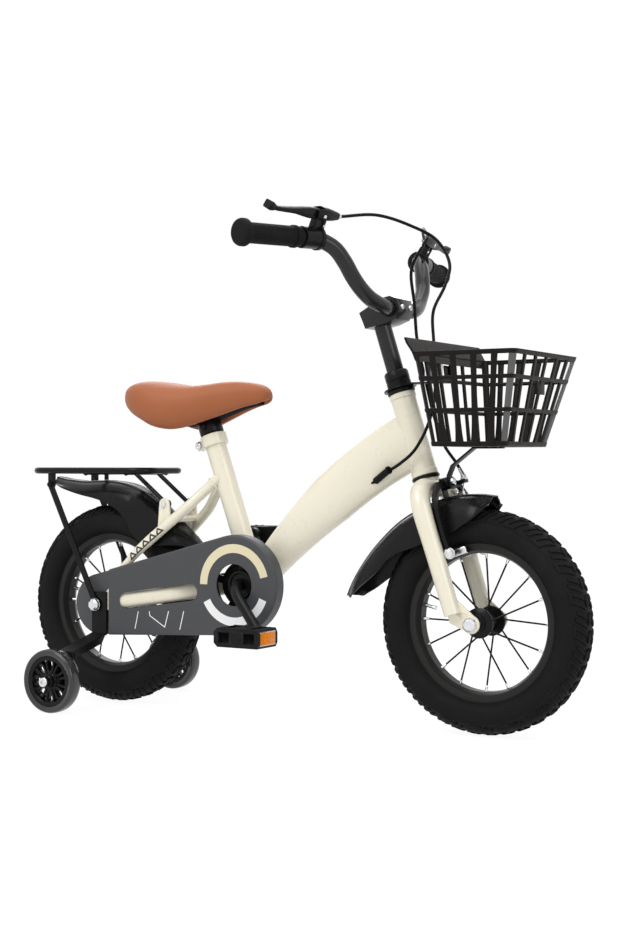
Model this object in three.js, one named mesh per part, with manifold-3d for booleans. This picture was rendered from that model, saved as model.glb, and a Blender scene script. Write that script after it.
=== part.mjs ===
// Kids bike with training wheels, basket and rack
// Millimetres, X forward, Y to the rider's left, Z up, origin on the ground halfway between the axles
import * as THREE from 'three';
import { mergeVertices } from 'three/addons/utils/BufferGeometryUtils.js';
import Module from 'manifold-3d';

const wasm = await Module();
wasm.setup();

// Driving sizes
const wheelbase = 637;
const wheelRadius = 156;
const headAngle = 17.8;
const forkRake = 26.6;
const seatAngle = 19.6;
const bottomBracketAhead = 260;
const bottomBracketRise = 40;
const clearance = 0.3;
const overrun = 5;
const mergeStep = 0.0001;

// Sides of round pieces
const bigSides = 28;
const trainingSides = 24;
const tubeSides = 18;
const roundSides = 16;
const nutSides = 12;
const staySides = 8;
const smallSides = 8;
const arcSteps = 6;

// Wheels
const rim = {
  inner: 95.5, shoulder: 99.5, bed: 101.5, lip: 109,
  innerHalf: 9, half: 17, bedHalf: 14.5,
};
const tyre = {
  halfWidth: 29, treadHalf: 5, shoulderHalf: 15.5, upperHalf: 26.5, lowerHalf: 22.5,
  shoulderDrop: 2.5, upperDrop: 13, wideDrop: 30, lowerDrop: 43,
};
const hub = {
  shell: 11, flange: 21, flangeHalf: 21.5, flangeThick: 3, half: 28,
  spokes: 16, spokeRadius: 1.3, spokeSeat: 19, spokeSpread: 3, spokeSides: 3,
};
const axle = {
  radius: 5, nutRadius: 9.5, nutLength: 9, domeShare: 0.7, spacerRadius: 7.7, washerRadius: 9.8,
  washerThick: 1.2,
};
const dropout = {
  thick: 4, frontMiddle: 46, rearMiddle: 50, noseRadius: 14, rearStartAngle: 100, rearEndAngle: 300,
  rearSteps: 10, frontNoseShare: 0.9, frontStartAngle: -150, frontEndAngle: 50, frontSteps: 9,
};

// Frame, head and fork
const head = {
  from: 219.8, to: 342.2, radius: 18, bore: 14.9, steerer: 14.3, steererTop: 368, steererBore: 12.8,
  steererBoreFrom: 300, cupRadius: 20, lowerCup: 4.5, upperCup: 6,
  nutLength: 24, nutRadius: 17.5, nutNeck: 16, nutChamfer: 2,
};
const fork = {
  crownHeight: 200.5, crownForward: 6, crownRadius: 14, shoulderHalf: 24, shoulderOut: 2, shoulderDrop: 3,
  bendHalf: 46, bendHeight: 189, kneeHeight: 168, legForward: 6, legHalf: 52, legTop: 13, legFoot: 11.5,
  legSides: 12, footHalf: 50, footHeight: 20, plateWidth: 18,
  bossRadius: 9.5, bossReach: 21, bossBack: 15, boltHeight: 200, boltRadius: 3,
};
const downTube = {
  bow: 34, bowAhead: 25, headHeight: 276, footDepth: 22, middleDepth: 39, headDepth: 42, footHalf: 22,
  headHalf: 17.5, startShare: 0.07, steps: 7, sides: 16,
};
const seatTube = { length: 236, radius: 16, postRadius: 13.6, collarRadius: 20.5, collarLength: 18 };
const seatPostSize = { depth: 150, foot: 130, top: 13 };
const bracketShell = { radius: 27, half: 34, bore: 21, cupFlange: 24, cupFlangeThick: 1.8 };
const chainStay = { halfHeight: 12, halfWidth: 8 };
const seatStay = { radius: 8, footRadius: 6 };
const bridge = { radius: 5, half: 40, angle: 47 };
const stayTab = { x: 203, z: 313, halfWidth: 9, thick: 4, rise: 12, frontFootShare: 2.2, backFootShare: 3.2 };

// Chain drive
const chainLine = 39;
const drive = {
  pitch: 12.7, ringTeeth: 28, cogTeeth: 16, toothHeight: 4, toothRoot: 4.2, plateHalf: 1.5, links: 64,
  chainHalf: 4, strandThick: 1.6, strandHalfHeight: 4, rollerRadius: 2.8, rollerSides: 3, chainSteps: 10,
};
const ringWindow = {
  count: 5, startAngle: 8, spanAngle: 56, cornerAngle: 6, outerShare: 0.76, innerShare: 0.42, outerSteps: 5,
  innerSteps: 3,
};
const cogSize = { outer: 44, hubRadius: 19, inner: 28.3 };
const crank = {
  length: 92, spindleRadius: 8.5, bendHalf: 60, elbowRadius: 20, elbowHalf: 71, tipHalf: 89,
  armHalfWidth: 8, armHalfThick: 6, rightAngle: -46.3, eyeRadius: 12,
  bendStartShare: 0.9, bendEndShare: 0.2, middleShare: 0.6,
};
const pedal = {
  halfLength: 38, innerHalf: 101, outerHalf: 150, halfHeight: 13.5, spindle: 5, shoulder: 7, corner: 6,
};
const guard = {
  face: 60.5, wall: 2, depth: 20, rearRadius: 47, frontRadius: 74, step: 291, plate: 47.3, plateThick: 1.8,
  axleHole: 10.5, crankHole: 31, slotRadius: 12.5, slotBack: 59.5, slotBackRise: 8.8, slotAhead: 181.5,
  slotAheadRise: 26.5, slotSteps: 8, notchBack: 300, notchAhead: 246, notchLow: 190, notchHigh: 245,
  arcSides: 16,
};

// Brakes
const drum = {
  radius: 38, from: 28.3, to: 38.4, wall: 4, coverRadius: 45, coverFrom: 38.8, coverTo: 41.3, hubRadius: 14,
  hubTo: 47.6,
};
const bandArm = {
  pivotAhead: 24, pivotDrop: 34, tipAhead: 44, tipDrop: 52, radius: 6, tipShare: 0.7, from: 41.7, to: 45,
  pin: 2.5, arcSteps: 5,
};
const caliper = {
  plateThick: 5, gap: 0.4, tabGap: 0.5, reach: 50, armHalf: 5, taperShare: 0.98, eye: 9, arcSteps: 4,
  padMiddle: 28, padHeight: 101, padHalfHeight: 4.2, padHalfLong: 15, padGap: 3.2, padThick: 11,
  studRadius: 2.4, studInset: 2, studEnd: 3, boltHead: 4, boltEnd: 5,
};
const lever = {
  clampMiddle: 134, clampHalf: 8, clampRadius: 15.5, offset: 34, bodyHalf: 7, pin: 3, plate: 3.2,
  bladeHalf: 5.5, blade: 104, bladeThick: 3.5, leanAhead: 18, leanUp: 33,
};
const barrel = { radius: 5, play: 0.3, from: 20, to: 33, cableAt: 25, neckInner: 24, boreLip: 2 };
const cable = { radius: 2.4, sides: 6, steps: 24 };

// Training wheels and their brackets
const training = {
  radius: 48, middle: 155, halfWidth: 11, back: 6, bore: 5.5, boss: 10, bossHalf: 13,
  webBack: 9.5, webAhead: 18.5, webTop: 20, webFoot: 45, webThick: 3, armOut: 134, armLow: 90, armThick: 4,
  boltRadius: 5, boltHead: 8, boltEnd: 4, headThick: 5,
};
const trainingRim = { radius: 38, half: 9, inner: 33, webHalf: 3, webLap: 2, tyreShoulder: 44, treadHalf: 7 };
const trainingHole = { count: 8, inner: 16, outer: 29, outerAngle: 9, innerAngle: 14, outerSteps: 2 };
const bracketFlange = { endInset: 3, endDepth: 9, rootInset: 3, rootRise: 1, footInset: 12, footDrop: 14 };
const bracketInner = 52.3;

// Rack and mudguards
const rack = {
  height: 364, postAngle: 97, tube: 5, back: 455, ahead: 228, half: 55, corner: 30, cornerSteps: 3,
  sides: 8, seam: 2, frontBar: 264, rearBar: 343, barRadius: 3.5, tabBack: 410, tabDrop: 22, tabThick: 3,
  tabHalf: 7, tabLap: 2,
};
const rackStrut = { radius: 3.4, tabFrom: 33, pin: 2.5, pinReach: 39, middle: 29.2 };
const rackStay = {
  from: 55.6, thick: 3, halfWidth: 4.8, footShare: 0.99, arcSteps: 4, boltSeat: 2, boltEnd: 3,
};
const fender = {
  halfWidth: 38, rearHalfWidth: 36, ridgeHalf: 12.5, ridgeFoot: 15, ridgeStep: 3, shoulder: 27,
  shoulderDrop: 10, wall: 2,
};
const tab = { thick: 2, half: 8, top: 208, foot: 177.5 };

// Stem, handlebar and grips
const stem = {
  clampForward: 27.4, rise: 84.7, quill: 12.4, quillFoot: 305, clampHalf: 22, clampRadius: 17.5,
};
const bar = { radius: 11, halfWidth: 287, straight: 139.195, sides: 10, bendSteps: 12 };
const grip = {
  length: 105, radius: 15, flange: 18.5, flangeLong: 8, innerFlange: 18, innerLong: 4, overhang: 3, neck: 14,
};

// Basket and what carries it
const basket = {
  floor: 398, rim: 524, wall: 4, floorThick: 4, corner: 12, post: 9, band: 6, lowBand: 446, highBand: 489,
  floorFront: 381.5, rimFront: 412, floorRear: 278, rimRear: 262,
  floorFrontHalf: 72, rimFrontHalf: 110, floorRearHalf: 92, rimRearHalf: 114,
  backTop: 544, backLean: 10, backHalf: 116, sideCount: 5, sideGapShare: 0.3, endCount: 6, endGapShare: 0.27,
};
const bracket = {
  thick: 2.4, radius: 24, strapFrom: 206, strapLow: 487, half: 11, plateHalf: 15, plateTop: 511,
};
const strut = {
  thick: 2.4, half: 7, footDrop: 10, eyeRise: 9, bendAhead: 6, bendRise: 14, floorFrom: 302, floorTo: 345,
};

// Saddle and its clamps
const saddle = { length: 259, halfWidth: 70, rise: 100, panHalfShare: 0.48, panThick: 4.5 };
const collar = { ear: 30, earHalf: 7, earInset: 2, earLap: 1, bolt: 3, boltHalf: 11, boltBack: 25 };
const saddleClamp = { from: 2, to: 32, radius: 18.5 };

// Places along the head and the brake's bolt, each piece seated on the one before it
const bracketFrom = head.to + clearance + head.upperCup + clearance;
const nutFrom = bracketFrom + bracket.thick + clearance;
const nutTop = nutFrom + head.nutLength;
const clampHeight = nutTop + stem.rise;
const tabFrom = fork.bossReach + caliper.gap;
const rightArmFrom = tabFrom + tab.thick + caliper.tabGap;
const leftArmFrom = rightArmFrom + caliper.plateThick + caliper.gap;
const strutFrom = leftArmFrom + caliper.plateThick + clearance;

// Finishes
const cream = { color: 0xe9dfc4, roughness: 0.3, metalness: 0 };
const black = { color: 0x1b1b1d, roughness: 0.5, metalness: 0 };
const softBlack = { color: 0x141414, roughness: 0.85, metalness: 0 };
const darkGrey = { color: 0x3a3b3d, roughness: 0.55, metalness: 0 };
const silver = { color: 0xc9cacc, roughness: 0.3, metalness: 1 };
const tan = { color: 0xa9703f, roughness: 0.5, metalness: 0 };
const wicker = { color: 0x33261f, roughness: 0.7, metalness: 0 };

// Small helpers for vectors and welded solids
const yAxis = new THREE.Vector3(0, 1, 0);
const radians = THREE.MathUtils.degToRad;

function at(x, y, z) {
  return new THREE.Vector3(x, y, z);
}

function weld(geometry) {
  geometry.deleteAttribute('normal');
  geometry.deleteAttribute('uv');
  const welded = mergeVertices(geometry, mergeStep);
  const old = welded.index.array;
  const kept = [];
  for (let i = 0; i < old.length; i += 3) {
    const [a, b, c] = [old[i], old[i + 1], old[i + 2]];
    if (a !== b && b !== c && c !== a) kept.push(a, b, c);
  }
  welded.setIndex(kept);
  return welded;
}

function signedVolume(positions, index) {
  const [a, b, c] = [at(0, 0, 0), at(0, 0, 0), at(0, 0, 0)];
  let volume = 0;
  for (let i = 0; i < index.length; i += 3) {
    a.fromArray(positions, index[i] * 3);
    b.fromArray(positions, index[i + 1] * 3);
    c.fromArray(positions, index[i + 2] * 3);
    volume += a.dot(b.cross(c));
  }
  return volume;
}

function solid(geometry) {
  const welded = weld(geometry);
  const positions = new Float32Array(welded.attributes.position.array);
  const index = new Uint32Array(welded.index.array);
  if (signedVolume(positions, index) < 0) index.reverse();
  return new wasm.Manifold(new wasm.Mesh({ numProp: 3, vertProperties: positions, triVerts: index }));
}

function geometryOf(shape) {
  const mesh = shape.getMesh();
  const geometry = new THREE.BufferGeometry();
  geometry.setAttribute('position', new THREE.BufferAttribute(new Float32Array(mesh.vertProperties), 3));
  geometry.setIndex(new THREE.BufferAttribute(new Uint32Array(mesh.triVerts), 1));
  geometry.computeVertexNormals();
  return geometry;
}

function part(parent, name, shape, finish) {
  const mesh = new THREE.Mesh(geometryOf(shape), new THREE.MeshStandardMaterial(finish));
  mesh.name = name;
  parent.add(mesh);
  return mesh;
}

function moved(shape, matrix) {
  return solid(geometryOf(shape).applyMatrix4(matrix));
}

function shifted(shape, x, y, z) {
  return moved(shape, new THREE.Matrix4().makeTranslation(x, y, z));
}

function mirrored(shape) {
  return moved(shape, new THREE.Matrix4().makeScale(1, -1, 1));
}

function joined(shapes) {
  return shapes.reduce((whole, piece) => whole.add(piece));
}

// Solids about the Y axis: profile points are radius and y
function lathe(profile, sides) {
  const points = profile.map(([radius, y]) => new THREE.Vector2(radius, y));
  return solid(new THREE.LatheGeometry(points, sides, Math.PI / sides));
}

function disc(radius, from, to, sides = roundSides) {
  return lathe([[0, from], [radius, from], [radius, to], [0, to]], sides);
}

function ring(inner, outer, from, to, sides = roundSides) {
  return lathe([[inner, from], [outer, from], [outer, to], [inner, to], [inner, from]], sides);
}

// Radius of a hole whose flats clear a round piece of the given radius
function bored(radius, sides = smallSides) {
  return (radius + clearance) / Math.cos(Math.PI / sides);
}

function rod(start, end, radius, sides = roundSides, endRadius = radius) {
  const along = end.clone().sub(start);
  const geometry = new THREE.CylinderGeometry(endRadius, radius, along.length(), sides);
  geometry.applyQuaternion(new THREE.Quaternion().setFromUnitVectors(yAxis, along.clone().normalize()));
  geometry.translate((start.x + end.x) / 2, (start.y + end.y) / 2, (start.z + end.z) / 2);
  return solid(geometry);
}

function block(low, high) {
  const size = high.clone().sub(low);
  const geometry = new THREE.BoxGeometry(size.x, size.y, size.z);
  geometry.translate((low.x + high.x) / 2, (low.y + high.y) / 2, (low.z + high.z) / 2);
  return solid(geometry);
}

// A plate that stands along X and Z, with thickness from one y to another
function sidePlate(outline, from, to) {
  const shape = new THREE.Shape(outline.map(([x, z]) => new THREE.Vector2(x, z)));
  const geometry = new THREE.ExtrudeGeometry(shape, { depth: to - from, bevelEnabled: false });
  geometry.rotateX(Math.PI / 2);
  geometry.translate(0, to, 0);
  return solid(geometry);
}

// A plate that stands along Y and Z, with thickness from one x to another
function crossPlate(outline, from, to) {
  const shape = new THREE.Shape(outline.map(([y, z]) => new THREE.Vector2(y, z)));
  const geometry = new THREE.ExtrudeGeometry(shape, { depth: to - from, bevelEnabled: false });
  geometry.rotateX(Math.PI / 2);
  geometry.rotateZ(Math.PI / 2);
  geometry.translate(from, 0, 0);
  return solid(geometry);
}

function arcPoints(x, z, radius, fromAngle, toAngle, steps) {
  return Array.from({ length: steps + 1 }, (_, i) => {
    const angle = radians(fromAngle + (toAngle - fromAngle) * i / steps);
    return [x + radius * Math.cos(angle), z + radius * Math.sin(angle)];
  });
}

// Outline of a belt round two circles
function beltOutline(a, b, steps) {
  const slope = Math.atan2(b.z - a.z, b.x - a.x);
  const spread = Math.acos((a.radius - b.radius) / Math.hypot(b.x - a.x, b.z - a.z));
  const upper = THREE.MathUtils.radToDeg(slope + spread);
  const lower = THREE.MathUtils.radToDeg(slope - spread);
  return [
    ...arcPoints(b.x, b.z, b.radius, lower, upper, steps),
    ...arcPoints(a.x, a.z, a.radius, upper, lower + 360, steps),
  ];
}

// A curve that meets every point given for it, so a tube has a section at each
class Route extends THREE.Curve {
  constructor(points) {
    super();
    this.points = points;
  }

  getPoint(share, target = new THREE.Vector3()) {
    const spans = this.points.length - 1;
    const first = Math.min(Math.floor(share * spans), spans - 1);
    return target.lerpVectors(this.points[first], this.points[first + 1], share * spans - first);
  }

  getPointAt(share, target) {
    return this.getPoint(share, target);
  }

  getTangentAt(share, target = new THREE.Vector3()) {
    const last = this.points.length - 1;
    const middle = Math.round(share * last);
    const before = this.points[Math.max(middle - 1, 0)];
    const after = this.points[Math.min(middle + 1, last)];
    return target.subVectors(after, before).normalize();
  }
}

function tube(points, radius, sides) {
  const outline = new THREE.Shape(Array.from({ length: sides }, (_, i) => {
    const angle = 2 * Math.PI * i / sides;
    return new THREE.Vector2(radius * Math.cos(angle), radius * Math.sin(angle));
  }));
  return solid(new THREE.ExtrudeGeometry(outline,
    { steps: points.length - 1, extrudePath: new Route(points) }));
}

function eased(points, steps) {
  return new THREE.CatmullRomCurve3(points, false, 'centripetal').getSpacedPoints(steps);
}

// A skin through rings of equal count, closed at its ends by strips across each ring
function skin(rings) {
  const count = rings[0].length;
  const positions = rings.flat().flatMap((point) => point.toArray());
  const index = [];
  for (let i = 0; i < rings.length - 1; i += 1) {
    for (let j = 0; j < count; j += 1) {
      const next = (j + 1) % count;
      const [a, b, c, d] = [i * count + j, i * count + next, (i + 1) * count + j, (i + 1) * count + next];
      index.push(a, b, d, a, d, c);
    }
  }
  const last = (rings.length - 1) * count;
  for (let j = 0; j < count / 2 - 1; j += 1) {
    const back = count - 1 - j;
    index.push(back, j + 1, j, back, back - 1, j + 1);
    index.push(last + j, last + j + 1, last + back, last + j + 1, last + back - 1, last + back);
  }
  const geometry = new THREE.BufferGeometry();
  geometry.setAttribute('position', new THREE.Float32BufferAttribute(positions, 3));
  geometry.setIndex(index);
  return solid(geometry);
}

function ovalRing(centre, across, along, halfAcross, halfAlong, sides) {
  return Array.from({ length: sides }, (_, i) => {
    const angle = 2 * Math.PI * (i + 0.5) / sides;
    return centre.clone()
      .addScaledVector(across, halfAcross * Math.cos(angle))
      .addScaledVector(along, halfAlong * Math.sin(angle));
  });
}

// A tube whose round or oval section changes along its points
function taper(points, halfWidths, halfDepths, across, sides) {
  const route = new Route(points);
  return skin(points.map((point, i) => {
    const tangent = route.getTangentAt(i / (points.length - 1));
    const along = new THREE.Vector3().crossVectors(tangent, across).normalize();
    const side = new THREE.Vector3().crossVectors(along, tangent).normalize();
    return ovalRing(point, side, along, halfWidths[i], halfDepths[i], sides);
  }));
}

// Places worked out from the driving sizes
const tilt = radians(headAngle);
const frontAxle = at(wheelbase / 2, 0, wheelRadius);
const rearAxle = at(-wheelbase / 2, 0, wheelRadius);
const bottomBracket = at(rearAxle.x + bottomBracketAhead, 0, rearAxle.z + bottomBracketRise);
const headUp = at(-Math.sin(tilt), 0, Math.cos(tilt));
const headAhead = at(Math.cos(tilt), 0, Math.sin(tilt));
const headFoot = frontAxle.clone().addScaledVector(headAhead, -forkRake);
const seatUp = at(-Math.sin(radians(seatAngle)), 0, Math.cos(radians(seatAngle)));
const seatAhead = at(Math.cos(radians(seatAngle)), 0, Math.sin(radians(seatAngle)));
const seatTop = bottomBracket.clone().addScaledVector(seatUp, seatTube.length);
const headMatrix = new THREE.Matrix4().makeRotationY(-tilt).setPosition(headFoot);

const bike = new THREE.Group();
bike.name = 'kids_bike';
const headGroup = new THREE.Group();
const steering = new THREE.Group();
for (const group of [headGroup, steering]) {
  group.position.copy(headFoot);
  group.rotation.y = -tilt;
  bike.add(group);
}

// A group in the steering that stands level, with its origin at a place given in the bike's axes
function levelGroup(place) {
  const group = new THREE.Group();
  group.position.copy(place.clone().sub(headFoot).applyAxisAngle(yAxis, tilt));
  group.rotation.y = tilt;
  steering.add(group);
  return group;
}

function groupAt(place) {
  const group = new THREE.Group();
  group.position.copy(place);
  bike.add(group);
  return group;
}

// Upright lathes: profile points are radius and height
function upright(profile, sides = roundSides) {
  return moved(lathe(profile, sides), new THREE.Matrix4().makeRotationX(Math.PI / 2));
}

function pipe(inner, outer, from, to, sides = roundSides) {
  return upright([[inner, from], [outer, from], [outer, to], [inner, to], [inner, from]], sides);
}

function post(radius, from, to, sides = roundSides) {
  return upright([[0, from], [radius, from], [radius, to], [0, to]], sides);
}

// Frame
const seatStayShares = [
  [1.292, 0.064, 1.276], [1.131, 0.115, 1.128], [0.978, 0.2, 0.965], [0.728, 0.262, 0.753],
  [0.58, 0.295, 0.628], [0.439, 0.308, 0.506], [0.25, 0.3205, 0.318],
];
const chainStayShares = [[0.03, 0.154], [0.228, 0.167], [0.4, 0.276], [0.449, 0.301], [0.871, 0.321]];
const dropoutShares = [[0.93, -0.22], [1.55, -0.2], [1.6, 1], [1.52, 1.9], [1.0, 2], [0.3, 1]];

function downTubeCurve() {
  const top = headFoot.clone().addScaledVector(headUp, downTube.headHeight);
  const along = top.clone().sub(bottomBracket).normalize();
  const above = new THREE.Vector3().crossVectors(along, yAxis);
  const bend = bottomBracket.clone().add(top).divideScalar(2)
    .addScaledVector(above, downTube.bow).addScaledVector(along, downTube.bowAhead);
  return new THREE.QuadraticBezierCurve3(bottomBracket, bend, top);
}

function downTubeShape() {
  const curve = downTubeCurve();
  const shares = Array.from({ length: downTube.steps + 1 },
    (_, i) => THREE.MathUtils.lerp(downTube.startShare, 1, i / downTube.steps));
  const points = shares.map((share) => curve.getPoint(share));
  const depths = shares.map((share) => THREE.MathUtils.lerp(
    THREE.MathUtils.lerp(downTube.footDepth, downTube.middleDepth, Math.min(2 * share, 1)),
    downTube.headDepth, Math.max(2 * share - 1, 0)));
  const halves = shares.map((share) => THREE.MathUtils.lerp(downTube.footHalf, downTube.headHalf, share));
  return taper(points, halves, depths, yAxis, downTube.sides);
}

function chainStayShape() {
  const along = rearAxle.clone().sub(bottomBracket);
  const points = chainStayShares.map(([share, side]) => {
    return bottomBracket.clone().addScaledVector(along, share).setY(side * wheelRadius);
  });
  const widths = points.map(() => chainStay.halfWidth);
  const heights = points.map(() => chainStay.halfHeight);
  return taper(points, widths, heights, yAxis, staySides);
}

function seatStayShape() {
  const points = seatStayShares.map(([x, y, z]) => rearAxle.clone().addScaledVector(at(x, y, z),
    wheelRadius));
  const radii = points.map((_, i) => (i < points.length - 2 ? seatStay.radius : seatStay.footRadius));
  return taper(points, radii, radii, yAxis, staySides);
}

function rearDropoutShape() {
  const nose = arcPoints(rearAxle.x, rearAxle.z, dropout.noseRadius, dropout.rearStartAngle,
    dropout.rearEndAngle,
    dropout.rearSteps);
  const tongue = dropoutShares.map(([x, z]) => [
    rearAxle.x + x * 2 * dropout.noseRadius, rearAxle.z + z * 2 * dropout.noseRadius]);
  return sidePlate([...nose, ...tongue], dropout.rearMiddle - dropout.thick / 2,
    dropout.rearMiddle + dropout.thick / 2);
}

function stayTabShape() {
  const [x, z] = [-stayTab.x, stayTab.z];
  const outline = [
    [x + stayTab.rise, z - stayTab.frontFootShare * stayTab.rise],
    ...arcPoints(x, z, stayTab.halfWidth, 0, 180, arcSteps),
    [x - stayTab.rise, z - stayTab.backFootShare * stayTab.rise],
  ];
  const plate = sidePlate(outline, rackStrut.tabFrom, rackStrut.tabFrom + stayTab.thick);
  return plate.subtract(shifted(disc(bored(rackStrut.pin), 0, wheelRadius, smallSides), x, 0, z));
}

// Rear brake cable: lever, grommet, down tube, under the bottom bracket, left chain stay, brake arm
const insideCable = [
  at(174, -25.1, 360.5), at(165, -20.7, 355.5), at(153, -14.8, 348.9), at(138, -10, 345), at(120, -5, 338),
  at(80, 0, 312), at(45, 4, 285), at(20, 8, 263), at(0, 11, 247), at(-10, 14.5, 240.5), at(-20, 21, 235.5),
  at(-30, 26.5, 232.5), at(-45, 28.5, 231.5), at(-62, 29, 230), at(-80, 29, 222.5), at(-100, 30, 213),
  at(-120, 32, 206.5), at(-150, 36.5, 202), at(-172, 37, 194), at(-195, 37, 182), at(-215, 38, 168),
  at(-235, 43, 152), at(-256, 48, 143),
];
const outsideCable = [
  at(186, -70, 719), at(215, -25, 708), at(238, 12, 690), at(258, 12, 655), at(256, 2, 625), at(243, -9, 588),
  at(246, -14, 545), at(250.5, -17.5, 500), at(249, -19, 462), at(240, -23, 425), at(222, -28, 392),
  at(200, -29.5, 374),
];
const grommet = { radius: 5, at: at(183, -29.5, 365.5), inside: at(155, -15.8, 350) };

function frameShape() {
  const headTube = moved(upright([[0, head.from], [head.radius, head.from], [head.radius, head.to],
    [0, head.to]],
    tubeSides), headMatrix);
  const side = joined([chainStayShape(), seatStayShape(), rearDropoutShape(), stayTabShape()]);
  const bridgeRadius = fenderRadius(rearRidge, bridge.angle) + clearance + bridge.radius;
  const bridgeAt = rearAxle.clone().add(at(
    bridgeRadius * Math.cos(radians(bridge.angle)), 0, bridgeRadius * Math.sin(radians(bridge.angle))));
  const whole = joined([
    headTube, downTubeShape(), rod(bottomBracket, seatTop, seatTube.radius, tubeSides),
    shifted(disc(bracketShell.radius, -bracketShell.half, bracketShell.half, tubeSides),
      bottomBracket.x, 0, bottomBracket.z),
    side, mirrored(side),
    rod(bridgeAt.clone().setY(-bridge.half), bridgeAt.clone().setY(bridge.half), bridge.radius, smallSides),
  ]);
  const bores = joined([
    moved(post(head.bore, head.from - overrun, head.to + overrun, tubeSides), headMatrix),
    shifted(disc(bracketShell.bore, -bracketShell.half - overrun, bracketShell.half + overrun, tubeSides),
      bottomBracket.x, 0, bottomBracket.z),
    rod(seatTop.clone().addScaledVector(seatUp, -seatPostSize.depth),
    seatTop.clone().addScaledVector(seatUp, overrun),
      bored(seatTube.postRadius, tubeSides), tubeSides),
    shifted(disc(bored(axle.radius), -2 * dropout.rearMiddle, 2 * dropout.rearMiddle, smallSides),
      rearAxle.x, 0, rearAxle.z),
    tube(insideCable, bored(cable.radius, cable.sides), cable.sides),
    rod(grommet.at, grommet.inside, bored(grommet.radius), smallSides),
  ]);
  return whole.subtract(bores);
}

// Mudguards: angle about the axle in degrees, then ridge radius, edge radius and half width as shares
const rearRidge = [
  [30, 1.199, 1.13, 0.5], [36, 1.165, 1.02, 0.8], [44, 1.13, 0.86, 0.97], [53, 1.128, 0.77, 1],
  [64, 1.16, 0.785, 1], [78, 1.205, 0.93, 1], [92, 1.231, 1.025, 1], [106, 1.275, 1.13, 1],
  [115, 1.37, 1.26, 0.95], [121, 1.48, 1.41, 0.7],
].map(([angle, ridgeShare, edgeShare, widthShare]) => ({ angle, ridgeShare, edgeShare, widthShare }));
const frontRidge = [
  [85, 1.122, 1.03, 0.7], [92, 1.132, 0.91, 1], [100, 1.142, 0.85, 1], [108, 1.152, 0.81, 1],
  [120, 1.168, 0.84, 1], [132, 1.198, 0.88, 1], [145, 1.235, 0.99, 1], [158.6, 1.3, 1.08, 0.97],
  [167, 1.355, 1.2, 0.88], [172.5, 1.4, 1.31, 0.55],
].map(([angle, ridgeShare, edgeShare, widthShare]) => ({ angle, ridgeShare, edgeShare, widthShare }));

function fenderRadius(stations, angle) {
  const after = stations.findIndex((station) => station.angle >= angle);
  const [low, high] = [stations[after - 1], stations[after]];
  const share = (angle - low.angle) / (high.angle - low.angle);
  return wheelRadius * THREE.MathUtils.lerp(low.ridgeShare, high.ridgeShare, share);
}

function fenderShape(stations, halfWidth) {
  const rings = stations.map(({ angle, ridgeShare, edgeShare, widthShare }) => {
    const ridge = ridgeShare * wheelRadius;
    const edge = edgeShare * wheelRadius;
    const wide = widthShare;
    const outer = [
      [halfWidth * wide, edge], [fender.shoulder * wide, ridge - fender.shoulderDrop],
      [fender.ridgeFoot * wide, ridge - fender.ridgeStep], [fender.ridgeHalf * wide, ridge],
    ];
    const inner = [
      [halfWidth * wide - fender.wall, edge],
      [(fender.shoulder - fender.wall) * wide, ridge - fender.shoulderDrop - fender.wall],
      [(fender.ridgeFoot - fender.wall / 2) * wide, ridge - fender.ridgeStep - fender.wall],
      [(fender.ridgeHalf - fender.wall / 2) * wide, ridge - fender.wall],
    ];
    const across = (points) => [...points, ...points.map(([y, r]) => [-y, r]).reverse()];
    return [...across(outer), ...across(inner).reverse()].map(([y, r]) => at(
      r * Math.cos(radians(angle)), y, r * Math.sin(radians(angle))));
  });
  return skin(rings);
}

// Wheels
function tyreShape() {
  const half = [
    [rim.bed + clearance, rim.bedHalf - 3 * clearance], [rim.lip, rim.half - 3 * clearance],
    [wheelRadius - tyre.lowerDrop, tyre.lowerHalf], [wheelRadius - tyre.wideDrop, tyre.halfWidth],
    [wheelRadius - tyre.upperDrop, tyre.upperHalf], [wheelRadius - tyre.shoulderDrop, tyre.shoulderHalf],
    [wheelRadius, tyre.treadHalf],
  ];
  const profile = [...half.map(([r, y]) => [r, -y]), ...half.reverse()];
  return lathe(onFlats([...profile, profile[0]]), bigSides);
}

// Radii given to the flats, so a wheel stands on a flat
function onFlats(profile, sides = bigSides) {
  return profile.map(([r, y]) => [r / Math.cos(Math.PI / sides), y]);
}

function rimShape() {
  const half = [[rim.inner, rim.innerHalf], [rim.shoulder, rim.half], [rim.lip, rim.half],
    [rim.bed, rim.bedHalf]];
  const profile = [...half.map(([r, y]) => [r, -y]), ...half.reverse()];
  return lathe(onFlats([...profile, profile[0]]), bigSides);
}

function hubShape() {
  const inside = hub.flangeHalf - hub.flangeThick;
  const half = [
    [hub.shell, inside], [hub.flange, inside], [hub.flange, hub.flangeHalf], [hub.shell, hub.flangeHalf],
    [hub.shell, hub.half], [axle.radius + clearance, hub.half],
  ];
  const profile = [...half.map(([r, y]) => [r, -y]).reverse(), ...half];
  const body = lathe([...profile, profile[0]], roundSides);
  const spokes = Array.from({ length: hub.spokes }, (_, i) => {
    const angle = 2 * Math.PI * i / hub.spokes;
    const side = i % 2 === 0 ? 1 : -1;
    const out = at(Math.cos(angle), 0, Math.sin(angle));
    const start = out.clone().multiplyScalar(hub.spokeSeat).setY(side * (hub.flangeHalf - hub.flangeThick / 2));
    const end = out.clone().multiplyScalar(rim.inner - clearance).setY(side * hub.spokeSpread);
    return rod(start, end, hub.spokeRadius, hub.spokeSides);
  });
  return joined([body, ...spokes]);
}

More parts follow.
